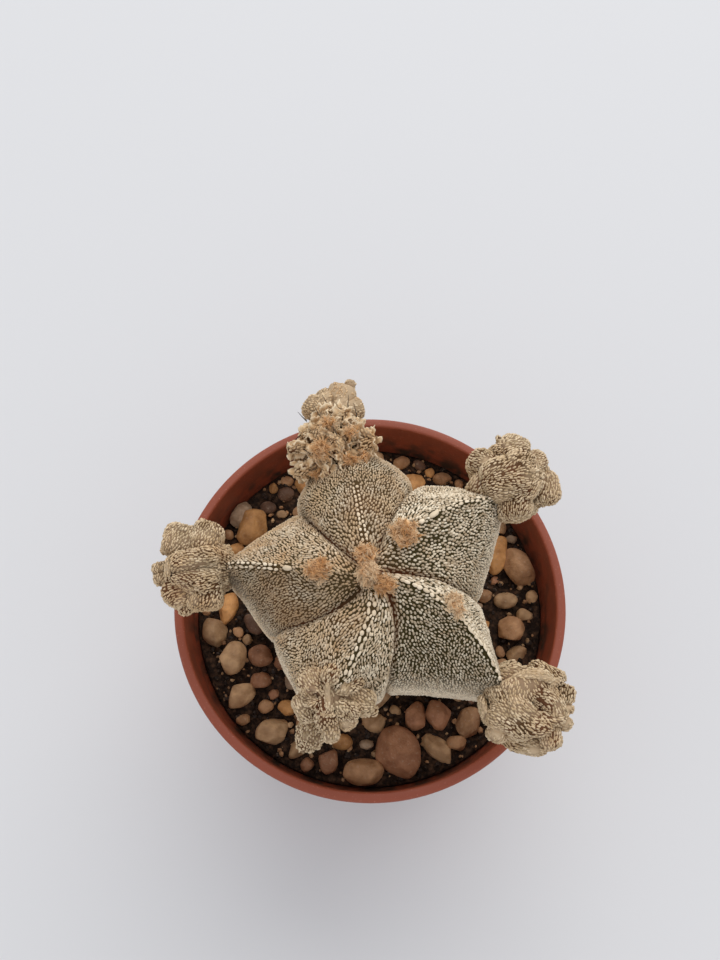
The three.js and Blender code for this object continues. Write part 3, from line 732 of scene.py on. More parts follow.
def bristle_material():
    """Dry bristles, near black with a brown root."""
    made, tree, shader = material("bristle_horn", 0.5)
    colour_from(tree, shader, blend(tree, speckle(tree, 1800), (0.012, 0.009, 0.007), (0.07, 0.035, 0.02)))
    return made


def pot_material():
    """Brick-red moulded plastic with a faint mottle and fine scuffs, and dark earth with painted shade on its
    inner wall above the soil.
    """
    made, tree, shader = material("pot_plastic", 0.42, 0.35)
    red = blend(tree, speckle(tree, 120), (0.25, 0.055, 0.025), (0.29, 0.068, 0.033))
    scuffs = ramp(tree, speckle(tree, 3500, 6), 0.62, 0.72)
    scuffed = blend(tree, scuffs, red, (0.42, 0.14, 0.09))
    earth_and_shade = ramp(tree, speckle(tree, 420, 5), 0.42, 0.62)
    # Dark patches of earth and painted shade on the inner wall above the soil
    earth_and_shade_patches = add_node(tree, "ShaderNodeMath", {0: earth_and_shade, 1: value_of(tree, "earth_and_shade")}, operation="MULTIPLY")
    colour_from(tree, shader, blend(tree, earth_and_shade_patches.outputs[0], scuffed, (0.06, 0.032, 0.02)))
    sheen = {"Value": speckle(tree, 700), "To Min": 0.34, "To Max": 0.55}
    gloss = add_node(tree, "ShaderNodeMapRange", sheen)
    tree.links.new(gloss.outputs["Result"], shader.inputs["Roughness"])
    bump(tree, shader, speckle(tree, 2600, 3), 0.02)
    return made


def soil_material():
    """Near-black potting soil with brown crumbs."""
    made, tree, shader = material("potting_soil", 0.95, 0.2)
    crumbs = ramp(tree, speckle(tree, 1300, 6), 0.45, 0.7)
    colour_from(tree, shader, blend(tree, crumbs, (0.020, 0.011, 0.007), (0.10, 0.052, 0.029)))
    bump(tree, shader, speckle(tree, 1800, 6), 0.5)
    return made


def pebble_material():
    """Rounded stone with its own tone, mottled and dusted, with fine pits."""
    made, tree, shader = material("pebble_stone", 0.62, 0.35)
    own = add_node(tree, "ShaderNodeAttribute", attribute_name="tone_colour").outputs["Color"]
    mottle = ramp(tree, speckle(tree, 700, 6), 0.3, 0.7)
    darker = blend(tree, 1.0, own, (0.55, 0.48, 0.42), "MULTIPLY")
    mottled = blend(tree, mottle, darker, own)
    dust = ramp(tree, speckle(tree, 2600, 4), 0.58, 0.75)
    dusted = add_node(tree, "ShaderNodeMath", {0: dust, 1: 0.35}, operation="MULTIPLY")
    colour_from(tree, shader, blend(tree, dusted.outputs[0], mottled, (0.55, 0.42, 0.28)))
    bump(tree, shader, speckle(tree, 3200, 6), 0.12)
    return made


# The ribbed head, as a formula over its flanks: across runs from a crest, 0, to the valley, 1, and row
# from the crown, 0, over the shoulder, 1, to the neck, 2, and the root's end, 3

WIND_POWER = 1.3
CREST_POWER = 2.4
CROWN_SWELL = 0.35
DIMPLE_POWER = 4
CREASE_CROWDING = 1.6
FORMULA_STEP = 0.004


def head_lines(head):
    """The numbers of each flank: two to a valley, the rib before it and the rib after it."""
    flanks = []
    for i, (low, low_reach, low_twist) in enumerate(head["valleys"]):
        before = head["ribs"][i]
        after = head["ribs"][(i + 1) % len(head["ribs"])]
        flanks.append((*before[:3], before[4], low, low_reach, low_twist))
        flanks.append((*after[:3], after[3], low, low_reach, low_twist))
    return np.array(flanks, float).T


def meridian(head, reach, neck_radius, row):
    """Radius and height along a line from the crown over the shoulder and the neck to the root."""
    turn = np.where(row < 3, row % 1, 1) * np.pi / 2
    top, shoulder, neck, bottom = (head[key] for key in ("top", "shoulder", "neck", "bottom"))
    dimple = head["dimple"] * (1 - np.sin(turn)) ** DIMPLE_POWER
    crown = (reach * np.sin(turn), shoulder + (top - shoulder) * np.cos(turn) - dimple)
    side = (neck_radius + (reach - neck_radius) * np.cos(turn), shoulder - (shoulder - neck) * np.sin(turn))
    root = (neck_radius * np.cos(turn), neck - (neck - bottom) * np.sin(turn))
    return [np.where(row < 1, a, np.where(row < 2, b, c)) for a, b, c in zip(crown, side, root)]


def head_points(head, flank, across, row):
    """Places on a head whose crests and valleys wind in towards the crown."""
    crest, reach, twist, swell, low, low_reach, low_twist = head_lines(head)[:, flank]
    inward = np.where(row < 1, (1 - np.sin(np.minimum(row, 1) * np.pi / 2)) ** WIND_POWER, 0)
    crest = crest + twist * inward
    low = low + low_twist * inward
    span = (low - crest + 540) % 360 - 180
    azimuth = np.radians(crest + span * across)
    full = swell + (1 - swell) * CROWN_SWELL * inward
    weight = (1 - full) * (1 - across) ** CREST_POWER + full * np.sqrt(np.maximum(1 - across * across, 0))
    ridge = meridian(head, reach, head["neck_radius"], row)
    furrow = meridian(head, low_reach, head["neck_radius"] * head["neck_notch"], row)
    low_height = furrow[1] - np.where(row < 1, head["drop"] * np.sin(np.pi * np.clip(row, 0, 1)), 0)
    radius = furrow[0] + (ridge[0] - furrow[0]) * weight
    height = low_height + (ridge[1] - low_height) * weight
    return np.stack([radius * np.cos(azimuth), radius * np.sin(azimuth), height], axis=-1)


def offset_head(length, notch, ribs):
    """The numbers of an offset's head, from its length and ribs."""
    valleys = []
    for i, (azimuth, reach) in enumerate(ribs):
        following, following_reach = ribs[(i + 1) % len(ribs)]
        step = (following - azimuth + 360) % 360
        valleys.append((azimuth + step / 2, notch * (reach + following_reach) / 2, OFFSET_TWIST))
    return {
        "ribs": [(azimuth, reach, OFFSET_TWIST, OFFSET_SWELL, OFFSET_SWELL) for azimuth, reach in ribs],
        "valleys": valleys,
        "top": length, "dimple": length * 0.14, "drop": length * 0.1, "shoulder": length * 0.42,
        "neck": 0, "neck_radius": ribs[0][1] * 0.72, "neck_notch": 0.85, "bottom": -1.6,
    }


def growing(foot, grow):
    """The turn and place of an offset, with angle 0 of its ribs on the upper side."""
    grow = Vector(grow).normalized()
    side = grow.cross(Vector((0, 0, 1))).normalized()
    upper = side.cross(grow)
    return np.array(Matrix((upper, side, grow)).transposed()), np.array(foot, float)


def puckers(points, pitch, seed):
    """Folded skin, from -0.6 in its narrow creases to 0.4 on its broad backs."""
    return np.minimum(2.5 * np.abs(noise(points, pitch, seed)), 1) - 0.6


class Skin:
    """A head's surface in the frame, with small uneven lumps and puckered folds laid over its formula."""

    def __init__(self, head, turn, place, lumps, folds, groove, seed, scale=1):
        self.head = head
        self.turn = turn
        self.place = place
        self.lumps = lumps
        self.folds = folds
        self.groove = groove
        self.seed = seed
        self.scale = scale
        self.flanks = 2 * len(head["valleys"])

    def plain(self, flank, across, row):
        return self.scale * head_points(self.head, flank, across, row) @ self.turn.T + self.place

    def frame_at(self, flank, across, row):
        """Points with their outward normals, the directions down from the crown, the share of area that
        each stands for and how far each lies from the crease in its valley."""
        step = FORMULA_STEP
        inner = np.clip(across, step, 1 - step)
        points = self.plain(flank, across, row)
        down = self.plain(flank, across, row + step) - self.plain(flank, across, row - step)
        sideways = self.plain(flank, inner + step, row) - self.plain(flank, inner - step, row)
        sideways *= np.where(flank % 2, -1, 1)[:, None]
        area = np.linalg.norm(np.cross(down, sideways), axis=1)
        normal = unit(np.cross(down, sideways))
        moved = np.zeros(len(points))
        for i, (height, pitch) in enumerate(self.lumps):
            moved += height * noise(points, pitch, self.seed + i)
        for i, (height, pitch) in enumerate(self.folds):
            moved += height * puckers(points, pitch, self.seed + 50 + i)
        crease = (1 - across) * np.linalg.norm(sideways, axis=1) / (2 * step)
        depth, width = self.groove
        inward = depth * np.exp(-(crease / width) ** 2) * np.clip(row / 0.12, 0, 1)
        axis = self.turn[:, 2]
        middle = points - self.place
        radial = unit(middle - (middle @ axis)[:, None] * axis)
        lean = np.minimum(row, 1)[:, None] * np.pi / 2
        facing = axis * np.cos(lean) + radial * np.sin(lean)
        points = points + normal * moved[:, None] - facing * inward[:, None]
        return points, normal, unit(down), area, crease

    def mesh(self, steps, rows):
        """Points and faces of the skin, with columns of each point's distance from the crease, its row and
        its flank. The rows are counted for the crown, the sides and the root, and the steps are closer near
        the creases."""
        flank = np.repeat(np.arange(self.flanks), steps)
        share = np.tile(np.arange(steps) / steps, self.flanks)
        across = 1 - (1 - np.where(flank % 2, 1 - share, share)) ** CREASE_CROWDING
        levels = np.concatenate([part + np.arange(count) / count for part, count in enumerate(rows)])[1:]
        flank_grid = np.tile(flank, len(levels))
        across_grid = np.tile(across, len(levels))
        row_grid = np.repeat(levels, len(flank))
        points, _, _, _, crease = self.frame_at(flank_grid, across_grid, row_grid)
        crown = points[:len(flank)].mean(axis=0)
        root = points[-len(flank):].mean(axis=0)
        columns = [np.r_[crease, FAR, FAR], np.r_[row_grid, 0, 3], np.r_[flank_grid, 0, 0]]
        return np.r_[points, [crown], [root]], tube_faces(len(levels), len(flank), falling=True), columns


# Flecks

def candidates_on(skin, count, rng, rows):
    """Random places spread evenly over a skin, in columns: point, normal, way down, distance from the
    crease, row, flank and share of the way across it."""
    flank = rng.integers(0, skin.flanks, count)
    across = rng.random(count)
    row = rows[0] + (rows[1] - rows[0]) * rng.random(count)
    points, normal, down, area, crease = skin.frame_at(flank, across, row)
    keep = rng.random(count) < area / np.quantile(area, 0.98)
    return [column[keep] for column in (points, normal, down, crease, row, flank, across)]


def lone_places(points, normal, down):
    """Places that lie on no flank, in the same columns."""
    count = len(points)
    return [points, normal, down, np.full(count, FAR), np.ones(count), np.zeros(count, int), np.zeros(count)]


def scatter(places, need, stretch, swirl, seed, taken=()):
    """Thins places out until each has the room it needs, more along the flow than across it, where the
    flow runs down from the crown and swirls. Places taken are (point, clearance) pairs.
    Returns the numbers of the places that stay, and the flow at each."""
    points, normal, down = places[:3]
    turn = swirl * noise(points, SWIRL_PITCH, seed)
    flow = unit(down * np.cos(turn)[:, None] + np.cross(normal, down) * np.sin(turn)[:, None])
    tree = kdtree.KDTree(len(points))
    for i, point in enumerate(points):
        tree.insert(point, i)
    tree.balance()
    alive = np.ones(len(points), bool)
    for place, clearance in taken:
        for _, j, _ in tree.find_range(Vector(place), clearance):
            alive[j] = False
    stretch = np.broadcast_to(stretch, need.shape)
    shrink = 1 - 1 / stretch ** 2
    kept = []
    for i in range(len(points)):
        if not alive[i]:
            continue
        kept.append(i)
        near = np.array([j for _, j, _ in tree.find_range(points[i], need[i] * stretch[i])])
        apart = points[near] - points[i]
        along = apart @ flow[i]
        distance = (apart * apart).sum(axis=1) - shrink[i] * along * along
        alive[near[distance < need[i] ** 2]] = False
    return np.array(kept), flow[kept]


def surface(points, faces):
    return BVHTree.FromPolygons(points.tolist(), faces.tolist())


def settled(tree, points, normal, flow):
    """Seats: points moved onto a surface, with normals and flow that follow it there."""
    landed, facing = points.copy(), normal.copy()
    for i, point in enumerate(points):
        place, outward, _, _ = tree.find_nearest(point)
        landed[i] = place
        facing[i] = outward
    facing = unit(0.4 * normal + facing)
    along = flow - facing * (flow * facing).sum(axis=1, keepdims=True)
    return landed, facing, unit(along)


def off_seats(seats, along, beside, above):
    """Points given by how far they lie along the flow of a seat, beside it and above it."""
    points, normal, flow = seats
    side = np.cross(normal, flow)
    return (points[:, None] + flow[:, None] * along[..., None] + side[:, None] * beside[..., None]
            + normal[:, None] * above[..., None])


def domes(seats, length, width, height, rng, sides, bend):
    """Small closed domes sunk a little into the skin; length and width are whole, not half."""
    count = len(length)
    angle = np.arange(sides) * 2 * np.pi / sides + rng.random((count, 1)) * 6
    uneven = 1 + 0.2 * (rng.random((count, sides)) - 0.5)
    bow = bend * (rng.random((count, 1)) - 0.5) * length[:, None]
    rings = []
    for radius, rise in ((1.0, -SUNK), (0.86, 0.65)):
        x = radius * uneven * np.cos(angle)
        y = radius * uneven * np.sin(angle) * width[:, None] / 2 + bow * (x * x - 0.4)
        z = rise * height[:, None] * np.ones(sides)
        rings.append(off_seats(seats, x * length[:, None] / 2, y, z))
    top = off_seats(seats, np.zeros((count, 1)), -0.4 * bow, height[:, None])
    ring = np.arange(sides)
    following = (ring + 1) % sides
    pattern = np.r_[np.c_[ring, following, ring + sides],
                    np.c_[following, following + sides, ring + sides],
                    np.c_[ring + sides, following + sides, np.full(sides, 2 * sides)],
                    [[0, i + 1, i] for i in range(1, sides - 1)]]
    return repeated(np.concatenate([*rings, top], axis=1), pattern)


def strokes(seats, length, width, height, rng, bend):
    """Short closed strokes with a ridge along the flow, sunk a little into the skin; length and width are
    whole, not half."""
    count = len(length)
    angle = np.arange(6) * np.pi / 3 + 0.3 * (rng.random((count, 6)) - 0.5)
    uneven = 1 + 0.25 * (rng.random((count, 6)) - 0.5)
    bow = bend * (rng.random((count, 1)) - 0.5) * length[:, None]
    ridge = np.full((count, 1), 0.45)
    x = np.c_[np.cos(angle) * uneven, ridge, -ridge]
    y = np.c_[np.sin(angle) * uneven, 0 * ridge, 0 * ridge] * width[:, None] / 2 + bow * (x * x - 0.4)
    z = np.array([-SUNK] * 6 + [1, 1]) * height[:, None]
    pattern = np.array([[0, 1, 6], [1, 2, 7], [1, 7, 6], [2, 3, 7], [3, 4, 7], [4, 5, 6],
                        [4, 6, 7], [5, 0, 6], [0, 5, 4], [0, 4, 3], [0, 3, 2], [0, 2, 1]])
    return repeated(off_seats(seats, x * length[:, None] / 2, y, z), pattern)


def near_spots(points, spots):
    """How far each point lies inside soft round spots, given as (place, radius, strength)."""
    total = np.zeros(len(points))
    for place, radius, strength in spots:
        distance = np.linalg.norm(points - np.array(place), axis=1)
        total = np.maximum(total, strength * np.clip(1.3 - distance / radius, 0, 1))
    return total


# Main head

def from_centre(points):
    """How far points lie from the plant's axis, seen from above."""
    return np.hypot(points[:, 0], points[:, 1] - BODY_OFFSET)


def near_crown(points, reach, full=1.25):
    """1 by the crown, falling to 0 where the distance is the reach times full."""
    return np.clip(full - from_centre(points) / reach, 0, 1)


def steepness(row):
    """0 on top of the head, 1 on its steep sides."""
    return np.clip((row - 0.72) / 0.3, 0, 1)


def rib_at(points):
    """The number of the rib, counted from +X, between whose valleys each point lies."""
    turn = np.degrees(np.arctan2(points[:, 1] - BODY_OFFSET, points[:, 0])) % 360
    valleys = np.sort([valley[0] % 360 for valley in BODY["valleys"]])
    return np.searchsorted(valleys, turn) % len(valleys)


def on_seam(flank, across, points):
    """Which places lie on the dark seam of a crest."""
    ribs = range(len(BODY["ribs"]))
    rib = (flank + 1) // 2 % len(ribs)
    outward = from_centre(points)
    reach = np.array([BODY["ribs"][i][1] for i in ribs])[rib]
    start, end, width = np.array([CREST_SEAMS[i] for i in ribs])[rib].T
    away = across * outward * math.pi / len(ribs)
    return (away < width) & (outward > start * reach) & (outward < end * reach)


def body_skin(skin, finish):
    """Makes the skin of the main head, rusty in its creases by the crown, and returns its surface."""
    points, faces, (crease, row, flank) = skin.mesh(steps=17, rows=(52, 34, 6))
    crown = near_crown(points, 13)
    rust = np.exp(-(crease / (0.12 + 0.4 * crown)) ** 2) * (0.45 + 0.55 * crown) * (row < 1.4)
    brown = np.clip(np.maximum(rust, near_spots(points, STAINS) * 0.3) - near_spots(points, SHADED), 0, 1)
    values = {"brown": brown, "warm": np.array(FLANKS)[flank, 0], "bloom": 0.92 * steepness(row)}
    make_piece("body_skin", points, faces, finish, ["cactus_body"], values)
    return surface(points, faces)


def crest_beads(skin, tree, rng):
    """The bigger beads in rows along the crests, none quite like the next: seats, lengths and widths."""
    rows = []
    for rib, start, end, side_step, length, width in CREST_BEADS:
        reach = BODY["ribs"][rib][1]
        count = max(1, round((end - start) * reach * CREST_LENGTH / (length + BEAD_GAP)))
        share = start + (end - start) * (np.arange(count) + 0.5 + 0.3 * (rng.random(count) - 0.5)) / count
        row = np.arcsin(share) * 2 / np.pi
        points, normal, down, _, _ = skin.frame_at(np.full(count, 2 * rib), np.full(count, 0.02), row)
        side = np.cross(normal, down)
        drift = side_step + 0.14 * (rng.random((count, 1)) - 0.5) * (count > 1)
        flow = unit(down + 0.5 * side * (rng.random((count, 1)) - 0.5))
        lengths = length * (0.65 + 0.5 * rng.random(count))
        widths = width * (0.65 + 0.45 * rng.random(count))
        rows.append((points + side * drift, normal, flow, lengths, widths))
    points, normal, flow, length, width = (np.concatenate(column) for column in zip(*rows))
    return settled(tree, points, normal, flow), length, width


def taken_places(beads):
    """Where a bead or a tuft of wool leaves no room for flecks, with the clearance of each."""
    (points, _, _), length, width = beads
    taken = [(p, (a + b) / 4 + BEAD_CLEARANCE) for p, a, b in zip(points, length, width)]
    return taken + [(place, spread[0] * 0.7) for tufts in WOOL.values() for place, spread, *_ in tufts]


def body_flecks(skin, tree, beads, rng):
    """The flecks of the main head: their seats, the room and the place of each, and where they are small."""
    places = candidates_on(skin, FLECK_TRIES, rng, FLECK_ROWS)
    need = np.array(FLECK_NEED)[places[FLANK]] + 0.05 * near_crown(places[POINT], 10)
    need *= 1 + 0.12 * noise(places[POINT], 1.8, seed=77) - 0.1 * np.clip((places[ROW] - 0.4) / 0.35, 0, 1)
    stretch = np.array(FLANKS)[places[FLANK], 2]
    kept, flow = scatter(places, need, stretch, BODY_SWIRL, 42, taken_places(beads))
    points, normal, _, crease, row, flank, across = (column[kept] for column in places)
    bare = near_spots(points, BARE)
    shown = ~((bare > 0.3) & (rng.random(len(points)) < 0.5))
    shown &= (crease > 0.06 + 0.15 * near_crown(points, 13)) | (row > 1.05)
    shown &= ~on_seam(flank, across, points)
    return SimpleNamespace(
        seats=settled(tree, points[shown], normal[shown], flow[shown]),
        need=need[kept][shown],
        small=np.maximum(near_spots(points, THIN), bare)[shown],
        crease=crease[shown],
        row=row[shown],
        flank=flank[shown],
    )


def fleck_sizes(flecks, rng):
    """Lengths, widths and heights. On the steep sides the flecks are low and fill their room."""
    count = len(flecks.need)
    steep = steepness(flecks.row)
    _, fill, stretch, _ = np.array(FLANKS)[flecks.flank].T
    fill = np.maximum(fill, 1.85 * steep) - 0.28 * flecks.small * (1 - steep)
    fill *= 1 + 0.07 * noise(flecks.seats[0], 1.3, seed=60)
    length = flecks.need * stretch * (0.85 + 0.4 * rng.random(count)) * fill * 1.02
    width = flecks.need * (0.82 + 0.3 * rng.random(count)) * fill
    height = 0.11 + 0.08 * rng.random(count) - 0.05 * steep
    return length, width, height


def fleck_colours(flecks, rng):
    """How pale, how brown and how grey each fleck is. Those by a crease near the crown are rusty. The grey
    holds grey patches and painted shade on the flanks that are turned from the light.
    """
    points = flecks.seats[0]
    steep = steepness(flecks.row)
    warm, _, _, dark = np.array(FLANKS)[flecks.flank].T
    tone = rng.random(len(points)) * (1 - 0.6 * steep) + 0.45 * steep
    patchy = warm * (0.75 + 0.5 * noise(points, 2.2, seed=90))
    stained = np.maximum(patchy, near_spots(points, STAINS) * 0.9)
    brown = np.clip(stained + 0.15 * noise(points, 0.7, seed=91), 0, 1)
    crown = near_crown(points, 12, 1.3)
    rust = np.exp(-(flecks.crease / (0.3 + 0.4 * crown)) ** 2) * crown
    brown = np.maximum(brown * (1 - 0.45 * steep), rust)
    # Painted shade: the flanks turned from the light get greyer, darker flecks
    grey = np.maximum(near_spots(points, GREYS), dark * (1 - steep))
    grey = np.clip(np.maximum(grey, 0.6 * rust) * (0.6 + 0.6 * rng.random(len(points))), 0, 1)
    return tone, brown, grey


def make_flecks(name, shape, finish, tone, brown, grey):
    """One piece of flecks or beads on the main head, each with its own tone and stain."""
    points, faces = shape
    each = len(points) // len(tone)
    values = {"tone": np.repeat(tone, each), "brown": np.repeat(brown, each), "grey": np.repeat(grey, each)}
    make_piece(name, points, faces, finish, (), values)


def make_beads(beads, finish, rng):
    seats, length, width = beads
    height = np.minimum(width * 0.38, 0.28)
    shape = domes(seats, length, width, height, rng, BEAD_SIDES, BEAD_BEND)
    brown = np.clip(0.25 + near_spots(seats[0], STAINS) * 0.5, 0, 1)
    tone = 0.45 + 0.55 * rng.random(len(brown))
    make_flecks("crest_beads", shape, finish, tone, brown, np.zeros(len(brown)))


def make_body(skin_finish, fleck_finish):
    """The main head: its skin, the flecks of each rib and the beads along its crests."""
    rng = np.random.default_rng(BODY_SEED)
    skin = Skin(BODY, np.eye(3), np.array([0, BODY_OFFSET, 0.0]), BODY_LUMPS, [], BODY_CREASE, 11)
    tree = body_skin(skin, skin_finish)
    beads = crest_beads(skin, tree, rng)
    flecks = body_flecks(skin, tree, beads, rng)
    sizes = fleck_sizes(flecks, rng)
    colours = fleck_colours(flecks, rng)
    rib = rib_at(flecks.seats[0])
    for number in range(len(BODY["ribs"])):
        seats, own_sizes, own_colours = (
            [column[rib == number] for column in columns] for columns in (flecks.seats, sizes, colours))
        shape = strokes(seats, *own_sizes, rng, BODY_BEND)
        make_flecks(f"body_flecks_{number + 1}", shape, fleck_finish, *own_colours)
    make_beads(beads, fleck_finish, rng)


# Offsets

def lobe_shape(place, grow, half_length, half_width, half_height, square, points, seed):
    """Points of a unit ball laid over a lumpy lobe."""
    grow = np.array(Vector(grow).normalized())
    side = unit(np.cross([0.02, 0.01, 1], grow))
    axes = np.stack([side, np.cross(grow, side), grow])
    blunt = points / (np.abs(points) ** square).sum(axis=1, keepdims=True) ** (1 / square)
    uneven = 1 + 0.1 * noise(points * 1.5 + seed, 1.1, seed)
    return (blunt * uneven[:, None] * [half_width, half_height, half_length]) @ axes + np.array(place)


def laid_on(tree, path, stations=12):
    """A path drawn smooth and laid on a surface, with the outward directions there."""
    path = np.array(path, float)
    reach = np.r_[0, np.cumsum(np.linalg.norm(np.diff(path, axis=0), axis=1))]
    at = np.linspace(0, reach[-1], stations)
    points = np.stack([np.interp(at, reach, path[:, axis]) for axis in range(3)], axis=-1)
    found = [tree.find_nearest(point) for point in points]
    return np.array([place for place, *_ in found]), np.array([outward for _, outward, *_ in found])


def ribbon(path, out, width, height, rng, sides=8):
    """A closed rounded ridge along a path, that stands out along the directions and thins at its ends."""
    stations = len(path)
    along = unit(np.gradient(path, axis=0))
    side = unit(np.cross(out, along))
    share = (np.arange(stations) + 0.5) / stations
    swell = np.sin(np.pi * share) ** 0.35 * (0.94 + 0.12 * rng.random(stations))
    angle = np.arange(sides) * 2 * np.pi / sides
    across = np.cos(angle) * (width / 2 * swell)[:, None]
    rise = (np.sin(angle) + 0.1) * (height * swell)[:, None]
    rings = path[:, None] + side[:, None] * across[..., None] + out[:, None] * rise[..., None]
    return np.r_[rings.reshape(-1, 3), [path[0]], [path[-1]]], tube_faces(stations, sides)


def offset_shells(name, skin, seed, rng):
    """The closed meshes that make up an offset: its ribbed head, its lobes and then its ridges."""
    shells = [skin.mesh(steps=7, rows=(24, 20, 3))[:2]]
    ball_points, ball_faces = ball(3)
    for number, lobe in enumerate(LOBES.get(name, [])):
        shells.append((lobe_shape(*lobe, ball_points, seed + number), ball_faces))
    tree = surface(*merged(shells))
    for path, width, height in RIDGES.get(name, []):
        line, out = laid_on(tree, path)
        shells.append(ribbon(line, out, width, height, rng))
    return shells


def smoothness(name, points, seed):
    """How smooth and pale an offset's skin is, from 0 to 1."""
    patchy = np.clip(0.08 + 1.1 * noise(points, 1.5, seed + 5), 0, 0.35)
    return np.maximum(patchy, near_spots(points, SMOOTH.get(name, [])))


def offset_skin(name, shells, seed, finish):
    """Makes the skin of an offset, pale on its ridges, and returns its surface."""
    points, faces = merged(shells)
    lobes_end = 1 + len(LOBES.get(name, []))
    bloom = smoothness(name, points, seed)
    bloom[sum(len(part) for part, _ in shells[:lobes_end]):] = RIDGE_BLOOM
    values = {"brown": np.clip(0.5 + 0.5 * noise(points, 2, seed), 0, 1), "bloom": bloom}
    make_piece(f"{name}_skin", points, faces, finish, [name], values)
    return surface(points, faces)


def lobe_places(lobe, gap, rng, seed):
    """Random places over a lobe, in the columns of candidates_on."""
    place, grow, half_length, half_width, half_height, _ = lobe
    count = int(LOBE_TRIES * half_length * (half_width + half_height) / 2 / gap ** 2)
    points = lobe_shape(*lobe, unit(rng.normal(size=(count, 3))), seed)
    normal = unit(points - np.array(place))
    grow = np.array(Vector(grow).normalized())
    down = unit(-grow + normal * (normal @ grow)[:, None] + 1e-4)
    return lone_places(points, normal, down)


def ridge_places(shell, gap, rng):
    """Random places over a ridge, in the columns of candidates_on."""
    points, faces = shell
    a, b, c = points[faces].transpose(1, 0, 2)
    across = np.cross(b - a, c - a)
    area = np.linalg.norm(across, axis=1) / 2
    chosen = rng.choice(len(faces), int(RIDGE_TRIES * area.sum() / gap ** 2), p=area / area.sum())
    shares = rng.dirichlet((1, 1, 1), len(chosen)).T[..., None]
    place = a[chosen] * shares[0] + b[chosen] * shares[1] + c[chosen] * shares[2]
    normal = unit(across)[chosen]
    along = points[-1] - points[-2]
    down = unit(along - normal * (normal @ along)[:, None] + 1e-4)
    return lone_places(place, normal, down)


def outside(tree, points, deepest):
    """Which points lie outside a closed surface that nothing can be deeper inside than a distance."""
    free = np.ones(len(points), bool)
    for i, point in enumerate(points):
        near, normal, _, distance = tree.find_nearest(point)
        free[i] = distance > deepest or (Vector(point) - near).dot(normal) > -SKIN_SLACK
    return free


def offset_places(name, skin, shells, gap, rng, seed):
    """Places for flecks on an offset's head, lobes and ridges, where each lies outside the others."""
    _, _, length, _, ribs = OFFSETS[name]
    places = [candidates_on(skin, int(HEAD_TRIES * length * ribs[0][1] / gap ** 2), rng, OFFSET_ROWS)]
    places += [lobe_places(lobe, gap, rng, seed + number) for number, lobe in enumerate(LOBES.get(name, []))]
    depths = [length] * len(places) + [RIDGE_DEPTH] * (len(shells) - len(places))
    places += [ridge_places(shell, gap, rng) for shell in shells[len(places):]]
    trees = [surface(*shell) for shell in shells]
    for i, columns in enumerate(places):
        free = np.ones(len(columns[POINT]), bool)
        for j, tree in enumerate(trees):
            if i != j:
                free &= outside(tree, columns[POINT], depths[j])
        places[i] = [column[free] for column in columns]
    columns = [np.concatenate(parts) for parts in zip(*places)]
    order = rng.permutation(len(columns[POINT]))
    return [column[order] for column in columns]


def off_grooves(name, points, tree):
    """Which places lie clear of the dark grooves of an offset."""
    clear = np.ones(len(points), bool)
    for path in GROOVES.get(name, []):
        line, _ = laid_on(tree, path, 40)
        clear &= np.min(np.linalg.norm(points[:, None] - line, axis=2), axis=1) > GROOVE_WIDTH
    return clear


def ruffle(point, out, along, tree, rng):
    """The rings of a thin wavy flap that stands on edge, each from foot to edge and back."""
    length = 0.9 + 0.9 * rng.random()
    share = np.linspace(-0.5, 0.5, RUFFLE_RINGS)
    side = np.cross(out, along)
    bow = (rng.random() - 0.5) * 1.2
    wave = 0.14 * np.sin(share * (7 + 5 * rng.random()) + 6 * rng.random())
    foot = point + along * (share * length)[:, None] + side * (bow * share ** 2 * length + wave)[:, None]
    foot = np.array([np.array(tree.find_nearest(p)[0]) for p in foot])
    lean = unit(out + 0.7 * (rng.random() - 0.5) * side)
    tall = (0.45 + 0.6 * rng.random()) * np.cos(share * 2.6) ** 0.5 * (0.75 + 0.5 * rng.random(len(share)))
    curl = 0.35 * (rng.random() - 0.5) * side
    edge = foot + (lean + curl) * tall[:, None] + side * (0.1 * rng.normal(size=len(share)))[:, None]
    middle = foot + lean * (0.55 * tall)[:, None]
    sunk = foot - 0.2 * out
    thick = side * RUFFLE_THICKNESS
    return np.stack([sunk - 1.5 * thick, sunk + 1.5 * thick, middle + thick,
                     edge + 0.6 * thick, edge - 0.6 * thick, middle - thick], axis=1)


def ruffles(places, tree, rng, seed):
    """Thin wavy flaps of dry skin that stand out of a head, with the share of each point's height."""
    kept, flow = scatter(places, np.full(len(places[POINT]), RUFFLE_SPACING), 1.2, 2.5, seed)
    seats = settled(tree, places[POINT][kept], places[NORMAL][kept], flow)
    rings = np.stack([ruffle(*seat, tree, rng) for seat in zip(*seats)])
    last = (RUFFLE_RINGS - 1) * 6
    first_end = [[0, 5, 4], [0, 4, 3], [0, 3, 2], [0, 2, 1]]
    last_end = [[last + a, last + c, last + b] for a, b, c in first_end]
    pattern = np.r_[grid_faces(RUFFLE_RINGS, 6), first_end, last_end]
    points, faces = repeated(rings.reshape(len(kept), -1, 3), pattern)
    return points, faces, np.tile([0, 0, 0.5, 1, 1, 0.5], len(points) // 6)


